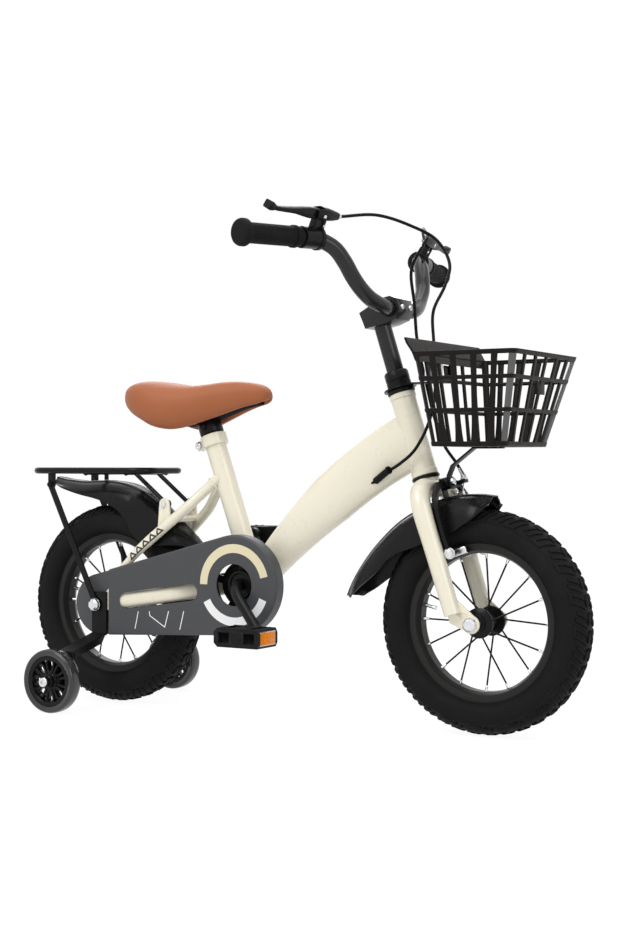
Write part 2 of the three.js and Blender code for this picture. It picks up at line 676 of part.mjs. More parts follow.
function axleShape(spacers, from, to) {
  const nut = joined([1, -1].map((side) => {
    const washer = disc(axle.washerRadius, from, from + axle.washerThick, nutSides);
    const dome = lathe([[0, from], [axle.nutRadius, from], [axle.nutRadius, to - axle.nutLength / 3],
      [axle.nutRadius * axle.domeShare, to], [0, to]], smallSides);
    const end = washer.add(dome);
    return side > 0 ? end : mirrored(end);
  }));
  const rings = spacers.map(([start, end]) => disc(axle.spacerRadius, start, end, smallSides));
  return joined([disc(axle.radius, -from - clearance, from + clearance, smallSides), nut, ...rings]);
}

function addWheels() {
  const front = levelGroup(frontAxle);
  const rear = groupAt(rearAxle);
  for (const [group, name] of [[front, 'front'], [rear, 'rear']]) {
    part(group, `${name}_tyre`, tyreShape(), softBlack);
    part(group, `${name}_rim`, rimShape(), black);
    part(group, `${name}_hub`, hubShape(), black);
  }
  const frontInside = dropout.frontMiddle - dropout.thick / 2 - clearance;
  const rearInside = dropout.rearMiddle - dropout.thick / 2 - clearance;
  const frontNut = dropout.frontMiddle + dropout.thick / 2 + clearance;
  const rearNut = rackStay.from + rackStay.thick + clearance;
  const gap = hub.half + clearance;
  part(front, 'front_axle', axleShape([[gap, frontInside], [-frontInside, -gap]], frontNut,
    frontNut + axle.nutLength), silver);
  part(rear, 'rear_axle', axleShape([[drum.to + clearance, rearInside],
    [-rearInside, -cogSize.outer - clearance]],
    rearNut, rearNut + axle.nutLength), silver);
  part(rear, 'brake_drum', drumShape(), silver);
  part(rear, 'band_brake_cover', coverShape(), black);
  part(rear, 'band_brake_arm', bandArmShape(), silver);
  part(rear, 'rear_fender', fenderShape(rearRidge, fender.rearHalfWidth), black);
  const guardedWheel = joined([fenderShape(frontRidge, fender.halfWidth), fenderTab()]);
  part(front, 'front_fender', guardedWheel.subtract(fenderTabHole()), black);
}

function steeredToWheel(shape) {
  return moved(shape, new THREE.Matrix4().makeRotationY(-tilt).setPosition(headFoot.clone().sub(frontAxle)));
}

function fenderTab() {
  return steeredToWheel(block(at(tabFrom, -tab.half, tab.foot), at(tabFrom + tab.thick, tab.half, tab.top)));
}

function fenderTabHole() {
  return steeredToWheel(rod(at(0, 0, fork.boltHeight), at(2 * tabFrom, 0, fork.boltHeight),
    bored(fork.boltRadius), smallSides));
}

function drumShape() {
  const bore = axle.spacerRadius + clearance;
  const profile = [
    [axle.radius + clearance, drum.from], [hub.shell, drum.from], [hub.shell, drum.from + drum.wall / 2],
    [drum.radius, drum.from + drum.wall / 2], [drum.radius, drum.to], [drum.radius - drum.wall, drum.to],
    [drum.radius - drum.wall, drum.from + drum.wall], [bore, drum.from + drum.wall],
    [bore, drum.to - clearance],
    [axle.radius + clearance, drum.to - clearance],
  ];
  return lathe([...profile, profile[0]], roundSides);
}

function coverShape() {
  const hole = axle.spacerRadius + clearance;
  const plate = lathe([[hole, drum.coverFrom], [drum.coverRadius, drum.coverFrom],
    [drum.coverRadius, drum.coverTo],
    [drum.hubRadius, drum.coverTo], [drum.hubRadius, drum.hubTo], [hole, drum.hubTo],
    [hole, drum.coverFrom]], roundSides);
  const pin = shifted(disc(bandArm.pin, drum.coverFrom, bandArm.to, smallSides),
    bandArm.pivotAhead, 0, -bandArm.pivotDrop);
  return joined([plate, pin]);
}

function bandArmShape() {
  const outline = beltOutline({ x: bandArm.pivotAhead, z: -bandArm.pivotDrop, radius: bandArm.radius },
    { x: bandArm.tipAhead, z: -bandArm.tipDrop, radius: bandArm.radius * bandArm.tipShare },
    bandArm.arcSteps);
  const plate = sidePlate(outline, bandArm.from, bandArm.to);
  return plate.subtract(shifted(disc(bored(bandArm.pin), 0, 2 * bandArm.to, smallSides),
    bandArm.pivotAhead, 0, -bandArm.pivotDrop));
}

// Drive
const toothShares = [-0.22, 0.22, 0.42, 0.58];

function toothedOutline(teeth, phase) {
  const pitchRadius = drive.pitch / (2 * Math.sin(Math.PI / teeth));
  return Array.from({ length: teeth * 4 }, (_, i) => {
    const angle = phase + 2 * Math.PI * (Math.floor(i / 4) + toothShares[i % 4]) / teeth;
    const radius = i % 4 < 2 ? pitchRadius - drive.toothRoot : pitchRadius + drive.toothHeight;
    return [radius * Math.cos(angle), radius * Math.sin(angle)];
  });
}

function chainringShape() {
  const pitchRadius = drive.pitch / (2 * Math.sin(Math.PI / drive.ringTeeth));
  const plate = sidePlate(toothedOutline(drive.ringTeeth, meshAngle(true) - radians(crank.rightAngle)),
    -chainLine - drive.plateHalf, -chainLine + drive.plateHalf);
  const windows = Array.from({ length: ringWindow.count }, (_, i) => {
    const start = 360 * i / ringWindow.count + ringWindow.startAngle;
    const end = start + ringWindow.spanAngle;
    const corner = ringWindow.cornerAngle;
    const outline = [
      ...arcPoints(0, 0, pitchRadius * ringWindow.outerShare, start, end, ringWindow.outerSteps),
      ...arcPoints(0, 0, pitchRadius * ringWindow.innerShare, end - corner, start + corner,
      ringWindow.innerSteps),
    ];
    return sidePlate(outline, -2 * chainLine, 0);
  });
  return windows.reduce((rest, window) => rest.subtract(window),
    plate.subtract(disc(crank.spindleRadius + clearance, -2 * chainLine, 0)));
}

function cogShape() {
  const plate = sidePlate(toothedOutline(drive.cogTeeth, meshAngle(false)), -chainLine - drive.plateHalf,
    -chainLine + drive.plateHalf);
  const body = disc(cogSize.hubRadius, -cogSize.outer, -cogSize.inner);
  return joined([plate, body]).subtract(disc(axle.radius + clearance, -2 * chainLine, 0));
}

// The chain's run round both toothed wheels, measured from the rear axle
function chainRun() {
  const front = drive.pitch / (2 * Math.sin(Math.PI / drive.ringTeeth));
  const rear = drive.pitch / (2 * Math.sin(Math.PI / drive.cogTeeth));
  const reach = bottomBracket.clone().sub(rearAxle);
  const spacing = Math.hypot(reach.x, reach.z);
  const slope = Math.atan2(reach.z, reach.x);
  const spread = Math.acos((rear - front) / spacing);
  const straight = spacing * Math.sin(spread);
  const lengths = [2 * spread * front, straight, 2 * (Math.PI - spread) * rear, straight];
  const pitch = lengths.reduce((sum, length) => sum + length) / drive.links;
  return { front, rear, reach, slope, spread, lengths, pitch };
}

// Angle of the roller nearest the middle of the front or the rear arc
function meshAngle(onFront) {
  const { front, rear, slope, spread, lengths, pitch } = chainRun();
  if (onFront) return slope - spread + Math.round(lengths[0] / 2 / pitch) * pitch / front;
  const start = lengths[0] + lengths[1];
  const middle = Math.round((start + lengths[2] / 2) / pitch) * pitch;
  return slope + spread + (middle - start) / rear;
}

// Chain: rollers at every pitch round the belt, joined by one strand on each side
function chainShape() {
  const run = chainRun();
  const outlineAt = (offset) => beltOutline(
    { x: 0, z: 0, radius: run.rear + offset },
    { x: run.reach.x, z: run.reach.z, radius: run.front + offset }, drive.chainSteps);
  const half = drive.strandHalfHeight;
  const strand = (from, to) => sidePlate(outlineAt(half), from, to).subtract(
    sidePlate(outlineAt(-half), from - overrun, to + overrun));
  const outer = chainLine + drive.chainHalf;
  const inner = chainLine - drive.chainHalf;
  const strands = [strand(-outer, -outer + drive.strandThick), strand(-inner - drive.strandThick, -inner)];
  const rollers = Array.from({ length: drive.links }, (_, i) => {
    const [x, z] = beltPlace(i * run.pitch, run);
    const pin = disc(drive.rollerRadius, -outer + drive.strandThick / 2, -inner - drive.strandThick / 2,
      drive.rollerSides);
    return shifted(pin, x, 0, z);
  });
  return joined([...strands, ...rollers]);
}

function beltPlace(distance, { front, rear, reach, slope, spread, lengths }) {
  const [lower, upper] = [slope - spread, slope + spread];
  const on = (x, z, radius, angle) => [x + radius * Math.cos(angle), z + radius * Math.sin(angle)];
  const [a, b, c] = [lengths[0], lengths[0] + lengths[1], lengths[0] + lengths[1] + lengths[2]];
  if (distance < a) return on(reach.x, reach.z, front, lower + distance / front);
  if (distance < b) {
    const share = (distance - a) / lengths[1];
    return on(reach.x * (1 - share), reach.z * (1 - share), THREE.MathUtils.lerp(front, rear, share), upper);
  }
  if (distance < c) return on(0, 0, rear, upper + (distance - b) / rear);
  const share = (distance - c) / lengths[3];
  return on(reach.x * share, reach.z * share, THREE.MathUtils.lerp(rear, front, share), lower);
}

// One forged crank, level in its own group and turned with it
function crankShape() {
  const arm = (side) => {
    const points = [
      at(0, -side * crank.spindleRadius, 0), at(0, side * crank.bendHalf * crank.bendStartShare, 0),
      at(crank.elbowRadius * crank.bendEndShare, side * crank.bendHalf, 0),
      at(crank.elbowRadius, side * crank.elbowHalf, 0),
      at(crank.length * crank.middleShare, side * (crank.elbowHalf + crank.tipHalf) / 2, 0),
      at(crank.length, side * crank.tipHalf, 0)];
    const wide = [crank.spindleRadius, crank.spindleRadius, crank.spindleRadius, crank.armHalfWidth,
      crank.armHalfWidth, crank.armHalfWidth];
    const thick = [crank.spindleRadius, crank.spindleRadius, crank.spindleRadius, crank.armHalfThick,
      crank.armHalfThick, crank.armHalfThick];
    const eye = disc(crank.eyeRadius, crank.tipHalf - crank.armHalfThick, crank.tipHalf + crank.armHalfThick);
    const placed = shifted(side > 0 ? eye : mirrored(eye), crank.length, 0, 0);
    return taper(points, wide, thick, at(0, 0, 1), smallSides).add(placed);
  };
  const left = moved(arm(1), new THREE.Matrix4().makeRotationY(Math.PI));
  const hole = disc(bored(pedal.spindle), -2 * crank.tipHalf, 2 * crank.tipHalf, smallSides);
  return joined([arm(-1), left])
    .subtract(shifted(hole, crank.length, 0, 0)).subtract(shifted(hole, -crank.length, 0, 0));
}

function pedalShape() {
  const { halfLength, halfHeight, corner, innerHalf, outerHalf } = pedal;
  const outline = [
    [halfLength, halfHeight - corner], [halfLength - corner / 2, halfHeight],
    [corner - halfLength, halfHeight],
    [-halfLength, halfHeight - corner], [-halfLength, corner - halfHeight],
    [corner - halfLength, -halfHeight],
    [halfLength - corner / 2, -halfHeight], [halfLength, corner - halfHeight],
  ];
  const body = sidePlate(outline, innerHalf, outerHalf);
  const spindleHole = disc(bored(pedal.shoulder), 0, 2 * outerHalf, smallSides);
  const windows = [-1, 1].map((side) => block(
    at(side > 0 ? pedal.shoulder + corner : corner * 1.5 - halfLength, innerHalf + corner, -2 * halfHeight),
    at(side > 0 ? halfLength - corner * 1.5 : -pedal.shoulder - corner, outerHalf - corner, 2 * halfHeight)));
  return windows.reduce((rest, window) => rest.subtract(window), body.subtract(spindleHole));
}

function pedalSpindleShape() {
  const from = crank.tipHalf - crank.armHalfThick;
  const shoulder = crank.tipHalf + crank.armHalfThick + clearance;
  return lathe([[0, from], [pedal.spindle, from], [pedal.spindle, shoulder], [pedal.shoulder, shoulder],
    [pedal.shoulder, pedal.outerHalf - pedal.corner], [pedal.spindle, pedal.outerHalf - pedal.corner / 2],
    [0, pedal.outerHalf - pedal.corner / 2]], smallSides);
}

function cupShape() {
  const inner = crank.spindleRadius + clearance;
  return lathe([[inner, bracketShell.half - bracketShell.bore], [bracketShell.bore - clearance,
    bracketShell.half - bracketShell.bore], [bracketShell.bore - clearance, bracketShell.half + clearance],
  [bracketShell.cupFlange, bracketShell.half + clearance],
  [bracketShell.cupFlange, bracketShell.half + clearance + bracketShell.cupFlangeThick],
  [inner, bracketShell.half + clearance + bracketShell.cupFlangeThick],
  [inner, bracketShell.half - bracketShell.bore]], tubeSides);
}

// Chain guard: a shallow shell ahead of the step line and a plate behind it
function guardShape() {
  const reach = bottomBracket.clone().sub(rearAxle);
  const rearCircle = (offset) => ({ x: 0, z: 0, radius: guard.rearRadius - offset });
  const frontCircle = (offset) => ({ x: reach.x, z: reach.z, radius: guard.frontRadius - offset });
  const outline = beltOutline(rearCircle(0), frontCircle(0), guard.arcSides);
  const inside = beltOutline(rearCircle(guard.wall), frontCircle(guard.wall), guard.arcSides);
  const step = -guard.step - rearAxle.x;
  const far = 4 * guard.frontRadius;
  const ahead = block(at(step, -far, -far), at(far * 2, far, far));
  const behind = block(at(-far, -far, -far), at(step + guard.wall, far, far));
  const shell = sidePlate(outline, -guard.face, -guard.face + guard.depth)
    .subtract(sidePlate(inside, -guard.face + guard.wall, 0)).intersect(ahead);
  const plate = sidePlate(outline, -guard.plate, -guard.plate + guard.plateThick).intersect(behind);
  const slot = sidePlate(beltOutline({ x: guard.slotBack, z: guard.slotBackRise, radius: guard.slotRadius },
    { x: guard.slotAhead, z: guard.slotAheadRise, radius: guard.slotRadius }, guard.slotSteps), -far,
    -guard.plate);
  const notch = block(at(-guard.notchBack - rearAxle.x, -guard.face + guard.wall,
    guard.notchLow - rearAxle.z),
    at(-guard.notchAhead - rearAxle.x, far, guard.notchHigh - rearAxle.z));
  return shell.add(plate).subtract(slot).subtract(notch)
    .subtract(disc(guard.axleHole, -far, far))
    .subtract(shifted(disc(guard.crankHole, -far, far, bigSides), reach.x, 0, reach.z));
}

function addDrive() {
  const rear = groupAt(rearAxle);
  part(rear, 'freewheel_cog', cogShape(), silver);
  part(rear, 'chain', chainShape(), darkGrey);
  part(rear, 'chain_guard', guardShape(), darkGrey);
  const bracket = groupAt(bottomBracket);
  part(bracket, 'bottom_bracket_cup_left', cupShape(), silver);
  part(bracket, 'bottom_bracket_cup_right', mirrored(cupShape()), silver);
  const turning = new THREE.Group();
  turning.rotation.y = radians(-crank.rightAngle);
  bracket.add(turning);
  part(turning, 'crank', crankShape(), black);
  part(turning, 'chainring', chainringShape(), black);
  for (const [side, name] of [[-1, 'right'], [1, 'left']]) {
    const end = new THREE.Group();
    end.position.set(-side * crank.length, 0, 0);
    end.rotation.y = radians(crank.rightAngle);
    turning.add(end);
    const turned = (shape) => (side > 0 ? shape : mirrored(shape));
    part(end, `pedal_spindle_${name}`, turned(pedalSpindleShape()), silver);
    part(end, `pedal_${name}`, turned(pedalShape()), black);
  }
}

// Head bearings, fork and stem, in the head's own axes
function forkShape() {
  const steerer = post(head.steerer, fork.crownHeight, head.steererTop, tubeSides)
    .subtract(post(head.steererBore, head.steererBoreFrom, head.steererTop + overrun, tubeSides));
  const crown = rod(at(fork.crownForward, -fork.shoulderHalf, fork.crownHeight),
    at(fork.crownForward, fork.shoulderHalf, fork.crownHeight), fork.crownRadius);
  const boss = rod(at(-fork.bossBack, 0, fork.boltHeight), at(fork.bossReach, 0, fork.boltHeight),
    fork.bossRadius);
  const points = [
    at(fork.crownForward, fork.shoulderHalf / 2, fork.crownHeight),
    at(fork.crownForward, fork.shoulderHalf, fork.crownHeight),
    at(fork.legForward, (fork.shoulderHalf + fork.bendHalf) / 2 + fork.shoulderOut,
      fork.crownHeight - fork.shoulderDrop),
    at(fork.legForward, fork.bendHalf, fork.bendHeight),
    at(fork.legForward, fork.legHalf, fork.kneeHeight), at(fork.legForward, fork.footHalf, fork.footHeight),
  ];
  const radii = [fork.crownRadius, fork.crownRadius, fork.crownRadius, fork.crownRadius, fork.legTop,
    fork.legFoot];
  const leg = taper(points, radii, radii, at(1, 0, 0), fork.legSides);
  const nose = arcPoints(forkRake, 0, dropout.noseRadius * dropout.frontNoseShare, dropout.frontStartAngle,
    dropout.frontEndAngle, dropout.frontSteps);
  const outline = [...nose, [fork.legForward + fork.plateWidth / 2, 2 * fork.footHeight],
    [fork.legForward - fork.plateWidth / 2, 2 * fork.footHeight],
    [fork.legForward - fork.plateWidth / 2, fork.footHeight / 2]];
  const plate = sidePlate(outline, dropout.frontMiddle - dropout.thick / 2,
    dropout.frontMiddle + dropout.thick / 2);
  const axleHole = shifted(disc(bored(axle.radius), -2 * fork.legHalf, 2 * fork.legHalf, smallSides),
    forkRake, 0, 0);
  const boltHole = rod(at(-2 * fork.bossReach, 0, fork.boltHeight),
    at(2 * fork.bossReach, 0, fork.boltHeight),
    bored(fork.boltRadius), smallSides);
  const side = leg.add(plate);
  return joined([steerer, crown, boss, side, mirrored(side)]).subtract(axleHole).subtract(boltHole);
}

const stemShares = [
  [-2.72, -0.26], [-2.15, -1.57], [-0.3, -1.2], [0.6, -0.86], [1, -0.1], [0.75, 0.75], [0.1, 1], [-0.7, 0.86],
];

function levelled(shape, forward, height) {
  return moved(shape, new THREE.Matrix4().makeRotationY(tilt).setPosition(at(forward, 0, height)));
}

function stemShape() {
  const outline = stemShares.map(([x, z]) => [x * stem.clampRadius, z * stem.clampRadius]);
  const clamp = sidePlate(outline, -stem.clampHalf, stem.clampHalf)
    .subtract(disc(bored(bar.radius, bar.sides), -2 * stem.clampHalf, 2 * stem.clampHalf, bar.sides));
  const quill = post(stem.quill, stem.quillFoot, clampHeight - stem.clampRadius / 2, tubeSides);
  return levelled(clamp, stem.clampForward, clampHeight).add(quill);
}

// Handlebar: points of one half's bends as shares, then the straight end that carries grip and lever
const barShares = [
  [0, 0.0836, 0], [0.011, 0.139, 0.001], [0.003, 0.209, 0.016], [-0.01, 0.261, 0.039], [-0.025, 0.314, 0.078],
  [-0.039, 0.366, 0.13], [-0.06, 0.405, 0.196], [-0.09, 0.45, 0.258], [-0.141, 0.515, 0.3005],
];
const barEndShares = [-0.119, 0.485, -0.0205];
const barBends = barShares.map(([x, y, z]) => at(x, y, z)
  .multiplyScalar((bar.halfWidth - bar.straight) / barShares[barShares.length - 1][1]));
const barStraight = at(...barEndShares).multiplyScalar(bar.straight / barEndShares[1]);
const barBendEnd = barBends[barBends.length - 1];
const barEnd = barBendEnd.clone().add(barStraight);

function barShape() {
  const half = [...eased(barBends, bar.bendSteps), barEnd];
  const other = half.map((point) => point.clone().setY(-point.y)).reverse();
  return tube([...other, ...half], bar.radius, bar.sides);
}

// A frame at the bar's left end: Y runs outwards along the grip, Z towards the lever
function gripMatrix(back) {
  const outward = barStraight.clone().normalize();
  const lift = at(lever.leanAhead, 0, lever.leanUp);
  const hinge = new THREE.Vector3().crossVectors(outward, lift).normalize();
  const up = new THREE.Vector3().crossVectors(hinge, outward);
  return new THREE.Matrix4().makeBasis(hinge, outward, up)
    .setPosition(barEnd.clone().addScaledVector(outward, -back));
}

function gripShape() {
  const bore = bored(bar.radius, bar.sides);
  const { flange, flangeLong, radius, length, innerFlange, innerLong, overhang, neck } = grip;
  return lathe([
    [0, overhang], [radius, overhang], [flange, 0], [flange, -flangeLong], [radius, -flangeLong],
    [radius, -length + 3 * innerLong], [innerFlange, -length + 3 * innerLong],
    [innerFlange, -length + 2 * innerLong],
    [neck, -length + 2 * innerLong], [neck, -length], [bore, -length], [bore, clearance], [0, clearance],
  ], bar.sides);
}

const bladeShares = [[0, 1], [0.16, 1.02], [0.48, 1.1], [0.86, 1.12], [0.95, 1.16], [1, 1.28]];

function leverMountShape() {
  const clamp = ring(bored(bar.radius, bar.sides), lever.clampRadius, -lever.clampHalf, lever.clampHalf,
    bar.sides);
  const body = block(at(-lever.bodyHalf, -barrel.neckInner, lever.clampRadius - lever.pin),
    at(lever.bodyHalf, lever.bodyHalf, lever.offset + lever.bodyHalf));
  const slot = block(at(-lever.plate - clearance, -lever.bodyHalf - lever.pin, lever.clampRadius + lever.pin),
    at(lever.plate + clearance, 2 * lever.bodyHalf, 2 * lever.offset));
  const pin = rod(at(-lever.bodyHalf, 0, lever.offset), at(lever.bodyHalf, 0, lever.offset), lever.pin,
    smallSides);
  const tip = rod(at(0, -barrel.from, lever.offset), at(0, -barrel.to, lever.offset), barrel.radius,
    smallSides);
  const bore = rod(at(0, -barrel.from - barrel.boreLip, lever.offset), at(0, -2 * barrel.to, lever.offset),
    bored(cable.radius + barrel.play, cable.sides), cable.sides);
  return joined([clamp, body.subtract(slot), pin, tip]).subtract(bore);
}

function brakeLeverShape() {
  const points = bladeShares.map(([along, lift]) => at(0, along * lever.blade, lift * lever.offset));
  const wide = points.map((_, i) => (i === 0 ? lever.plate - clearance : lever.bladeHalf));
  wide[1] = lever.plate;
  const blade = taper(points, wide, points.map(() => lever.bladeThick / 2), at(1, 0, 0), smallSides);
  const eye = rod(at(-lever.plate, 0, lever.offset), at(lever.plate, 0, lever.offset), 2 * lever.pin,
    smallSides);
  const hole = rod(at(-2 * lever.bodyHalf, 0, lever.offset), at(2 * lever.bodyHalf, 0, lever.offset),
    bored(lever.pin), smallSides);
  return blade.add(eye).subtract(hole);
}

function addBars() {
  const clampAt = headFoot.clone().addScaledVector(headAhead, stem.clampForward)
    .addScaledVector(headUp, clampHeight);
  const bars = levelGroup(clampAt);
  part(bars, 'handlebar', barShape(), darkGrey);
  for (const [side, name] of [[1, 'left'], [-1, 'right']]) {
    const placed = (shape, back) => {
      const left = moved(shape, gripMatrix(back));
      return side > 0 ? left : mirrored(left);
    };
    part(bars, `grip_${name}`, placed(gripShape(), 0), softBlack);
    part(bars, `lever_mount_${name}`, placed(leverMountShape(), lever.clampMiddle), black);
    part(bars, `brake_lever_${name}`, placed(brakeLeverShape(), lever.clampMiddle), darkGrey);
  }
  return clampAt;
}

function barrelPoint(clampAt, side, inset) {
  const local = at(0, -inset, lever.offset).applyMatrix4(gripMatrix(lever.clampMiddle));
  return clampAt.clone().add(local.setY(side * local.y));
}

// Front brake cable: lever, past the head, caliper barrel
const frontCablePoints = [
  at(188, 66, 717), at(212, 26, 706), at(226, 6, 694), at(224, -6, 680), at(206, -4, 650), at(204, 9, 600),
  at(206, 13, 551), at(217, 17, 495), at(231, 18, 440), at(246, 20, 400), at(262, 26, 375), at(272, 27, 358),
];

function addCables(clampAt) {
  const world = levelGroup(at(0, 0, 0));
  const front = [barrelPoint(clampAt, 1, barrel.cableAt), barrelPoint(clampAt, 1, barrel.to + overrun),
    ...frontCablePoints];
  part(world, 'front_brake_cable', tube(eased(front, cable.steps), cable.radius, cable.sides), softBlack);
  const rear = [barrelPoint(clampAt, -1, barrel.cableAt), barrelPoint(clampAt, -1, barrel.to + overrun),
    ...outsideCable];
  const whole = [...eased([...rear, insideCable[0]], cable.steps).slice(0, -1), ...insideCable];
  part(bike, 'rear_brake_cable', tube(whole, cable.radius, cable.sides), softBlack);
  part(bike, 'cable_grommet', rod(grommet.at, grommet.inside, grommet.radius, smallSides)
    .subtract(tube(whole, cable.radius + clearance, cable.sides)), softBlack);
}

// Side pull brake on the fork crown, in the head's own axes
const armShares = [[0, 1], [0.56, 0.985], [0.94, 0.88], [0.98, 0.62], [0.88, 0.51]];

function caliperArm(side) {
  const from = side < 0 ? rightArmFrom : leftArmFrom;
  const to = from + caliper.plateThick;
  const points = armShares.map(([y, z]) => [side * y * caliper.reach, z * fork.boltHeight]);
  const bones = points.slice(1).map((end, i) => {
    const start = points[i];
    const outline = beltOutline({ x: start[0], z: start[1], radius: caliper.armHalf },
      { x: end[0], z: end[1], radius: caliper.armHalf * caliper.taperShare }, caliper.arcSteps);
    return crossPlate(outline, from, to);
  });
  const eye = rod(at(from, 0, fork.boltHeight), at(to, 0, fork.boltHeight), caliper.eye);
  const padFrom = rim.half + caliper.padGap;
  const [near, far] = [side * padFrom, side * (padFrom + caliper.padThick)].sort((a, b) => a - b);
  const pad = block(
    at(caliper.padMiddle - caliper.padHalfLong, near, caliper.padHeight - caliper.padHalfHeight),
    at(caliper.padMiddle + caliper.padHalfLong, far, caliper.padHeight + caliper.padHalfHeight));
  const foot = points[points.length - 1][0];
  const stud = rod(at((from + to) / 2, side * (padFrom + caliper.studInset), caliper.padHeight),
    at((from + to) / 2, foot + side * (caliper.armHalf + caliper.studEnd), caliper.padHeight),
    caliper.studRadius, smallSides);
  return joined([...bones, eye, pad, stud]).subtract(rod(at(0, 0, fork.boltHeight),
    at(2 * to, 0, fork.boltHeight),
    bored(fork.boltRadius), smallSides));
}

function caliperBoltShape() {
  const back = -fork.bossBack - clearance;
  const from = strutFrom + strut.thick + clearance;
  const onBolt = (x) => at(x, 0, fork.boltHeight);
  return joined([
    rod(onBolt(back - caliper.boltHead), onBolt(from + caliper.boltEnd), fork.boltRadius, smallSides),
    rod(onBolt(back - caliper.boltHead), onBolt(back), 2 * fork.boltRadius, smallSides),
    rod(onBolt(from), onBolt(from + caliper.boltHead), 2 * fork.boltRadius, smallSides),
  ]);
}

// Basket: a leaning shell with windows between its slats
function basketCorners(height, inset) {
  const share = (height - basket.floor) / (basket.rim - basket.floor);
  const mix = (low, high) => THREE.MathUtils.lerp(low, high, share);
  return {
    front: mix(basket.floorFront, basket.rimFront) - inset,
    rear: mix(basket.floorRear, basket.rimRear) + inset,
    frontHalf: mix(basket.floorFrontHalf, basket.rimFrontHalf) - inset,
    rearHalf: mix(basket.floorRearHalf, basket.rimRearHalf) - inset,
  };
}

function basketRing(height, inset) {
  const { front, rear, frontHalf, rearHalf } = basketCorners(height, inset);
  const cut = basket.corner - inset / 2;
  const half = [
    [front, frontHalf - cut], [front - cut, frontHalf], [rear + cut, rearHalf], [rear, rearHalf - cut],
  ];
  return [...half, ...half.map(([x, y]) => [x, -y]).reverse()].map(([x, y]) => at(x, y, height));
}

function prism(lowRing, highRing) {
  return skin([lowRing, highRing]);
}

function sideWindow(low, high, fromShare, toShare) {
  const ringAt = (height) => {
    const { front, rear } = basketCorners(height, basket.post);
    const x = (share) => THREE.MathUtils.lerp(rear, front, share);
    const far = 2 * basket.rimRearHalf;
    return [at(x(fromShare), -far, height), at(x(toShare), -far, height), at(x(toShare), far, height),
      at(x(fromShare), far, height)];
  };
  return prism(ringAt(low), ringAt(high));
}

function endWindow(low, high, fromShare, toShare) {
  const ringAt = (height) => {
    const { front, rear, frontHalf, rearHalf } = basketCorners(height, basket.post);
    const y = (share, half) => half * (2 * share - 1);
    const [back, fore] = [rear - 8 * basket.post, front + 8 * basket.post];
    return [at(back, y(fromShare, rearHalf), height), at(fore, y(fromShare, frontHalf), height),
      at(fore, y(toShare, frontHalf), height), at(back, y(toShare, rearHalf), height)];
  };
  return prism(ringAt(low), ringAt(high));
}

function windowShares(count, gapShare) {
  return Array.from({ length: count }, (_, i) => [(i + gapShare / 2) / count,
    (i + 1 - gapShare / 2) / count]);
}

function basketShape() {
  const shell = skin([basketRing(basket.floor, 0), basketRing(basket.rim, 0)]);
  const hollow = skin([basketRing(basket.floor + basket.floorThick, basket.wall),
    basketRing(basket.rim + overrun, basket.wall)]);
  const backRing = (rear, half, height) => [
    at(rear + basket.wall, -half, height), at(rear + basket.wall, half, height), at(rear, half, height),
    at(rear, -half, height)];
  const back = skin([
    backRing(basket.rimRear, basket.rimRearHalf - basket.wall, basket.rim - 2 * basket.band),
    backRing(basket.rimRear - basket.backLean, basket.backHalf, basket.backTop),
  ]);
  const tiers = [
    [basket.floor + basket.band + basket.floorThick, basket.lowBand - basket.band / 2],
    [basket.lowBand + basket.band / 2, basket.highBand - basket.band / 2],
    [basket.highBand + basket.band / 2, basket.rim - basket.band],
  ];
  let whole = shell.subtract(hollow);
  for (const [low, high] of tiers) {
    for (const [from, to] of windowShares(basket.sideCount, basket.sideGapShare)) {
      whole = whole.subtract(sideWindow(low, high, from, to));
    }
    for (const [from, to] of windowShares(basket.endCount, basket.endGapShare)) {
      whole = whole.subtract(endWindow(low, high, from, to));
    }
  }
  return whole.add(back);
}

function addBasket() {
  const world = levelGroup(at(0, 0, 0));
  part(world, 'basket', basketShape(), wicker);
}

// A strip of even thickness along points in a plane, as a closed outline
function stripOutline(points, thick) {
  const sideOf = (sign) => points.map(([a, b], i) => {
    const before = points[Math.max(i - 1, 0)];
    const after = points[Math.min(i + 1, points.length - 1)];
    const first = new THREE.Vector2(a - before[0], b - before[1]).normalize();
    const second = new THREE.Vector2(after[0] - a, after[1] - b).normalize();
    if (i === 0) first.copy(second);
    if (i === points.length - 1) second.copy(first);
    const along = first.clone().add(second).normalize();
    const reach = thick / 2 / along.dot(second);
    return [a - sign * along.y * reach, b + sign * along.x * reach];
  });
  return [...sideOf(1), ...sideOf(-1).reverse()];
}

// Basket bracket on the head bearing, and the strut from the basket's floor to the brake bolt
function basketBracketShape() {
  const washer = moved(pipe(head.steerer + clearance, bracket.radius, bracketFrom,
    bracketFrom + bracket.thick,
    tubeSides), headMatrix);
  const behind = (height) => basketCorners(height, 0).rear - clearance;
  const ringAt = (height) => [
    at(behind(height) - bracket.thick, -bracket.plateHalf, height),
    at(behind(height), -bracket.plateHalf, height),
    at(behind(height), bracket.plateHalf, height),
    at(behind(height) - bracket.thick, bracket.plateHalf, height)];
  const plate = skin([ringAt(bracket.strapLow), ringAt(bracket.plateTop)]);
  const strap = block(at(bracket.strapFrom, -bracket.half, bracket.strapLow),
    at(behind(bracket.strapLow) - bracket.thick / 2, bracket.half, bracket.strapLow + bracket.thick));
  return joined([washer, strap, plate]);
}

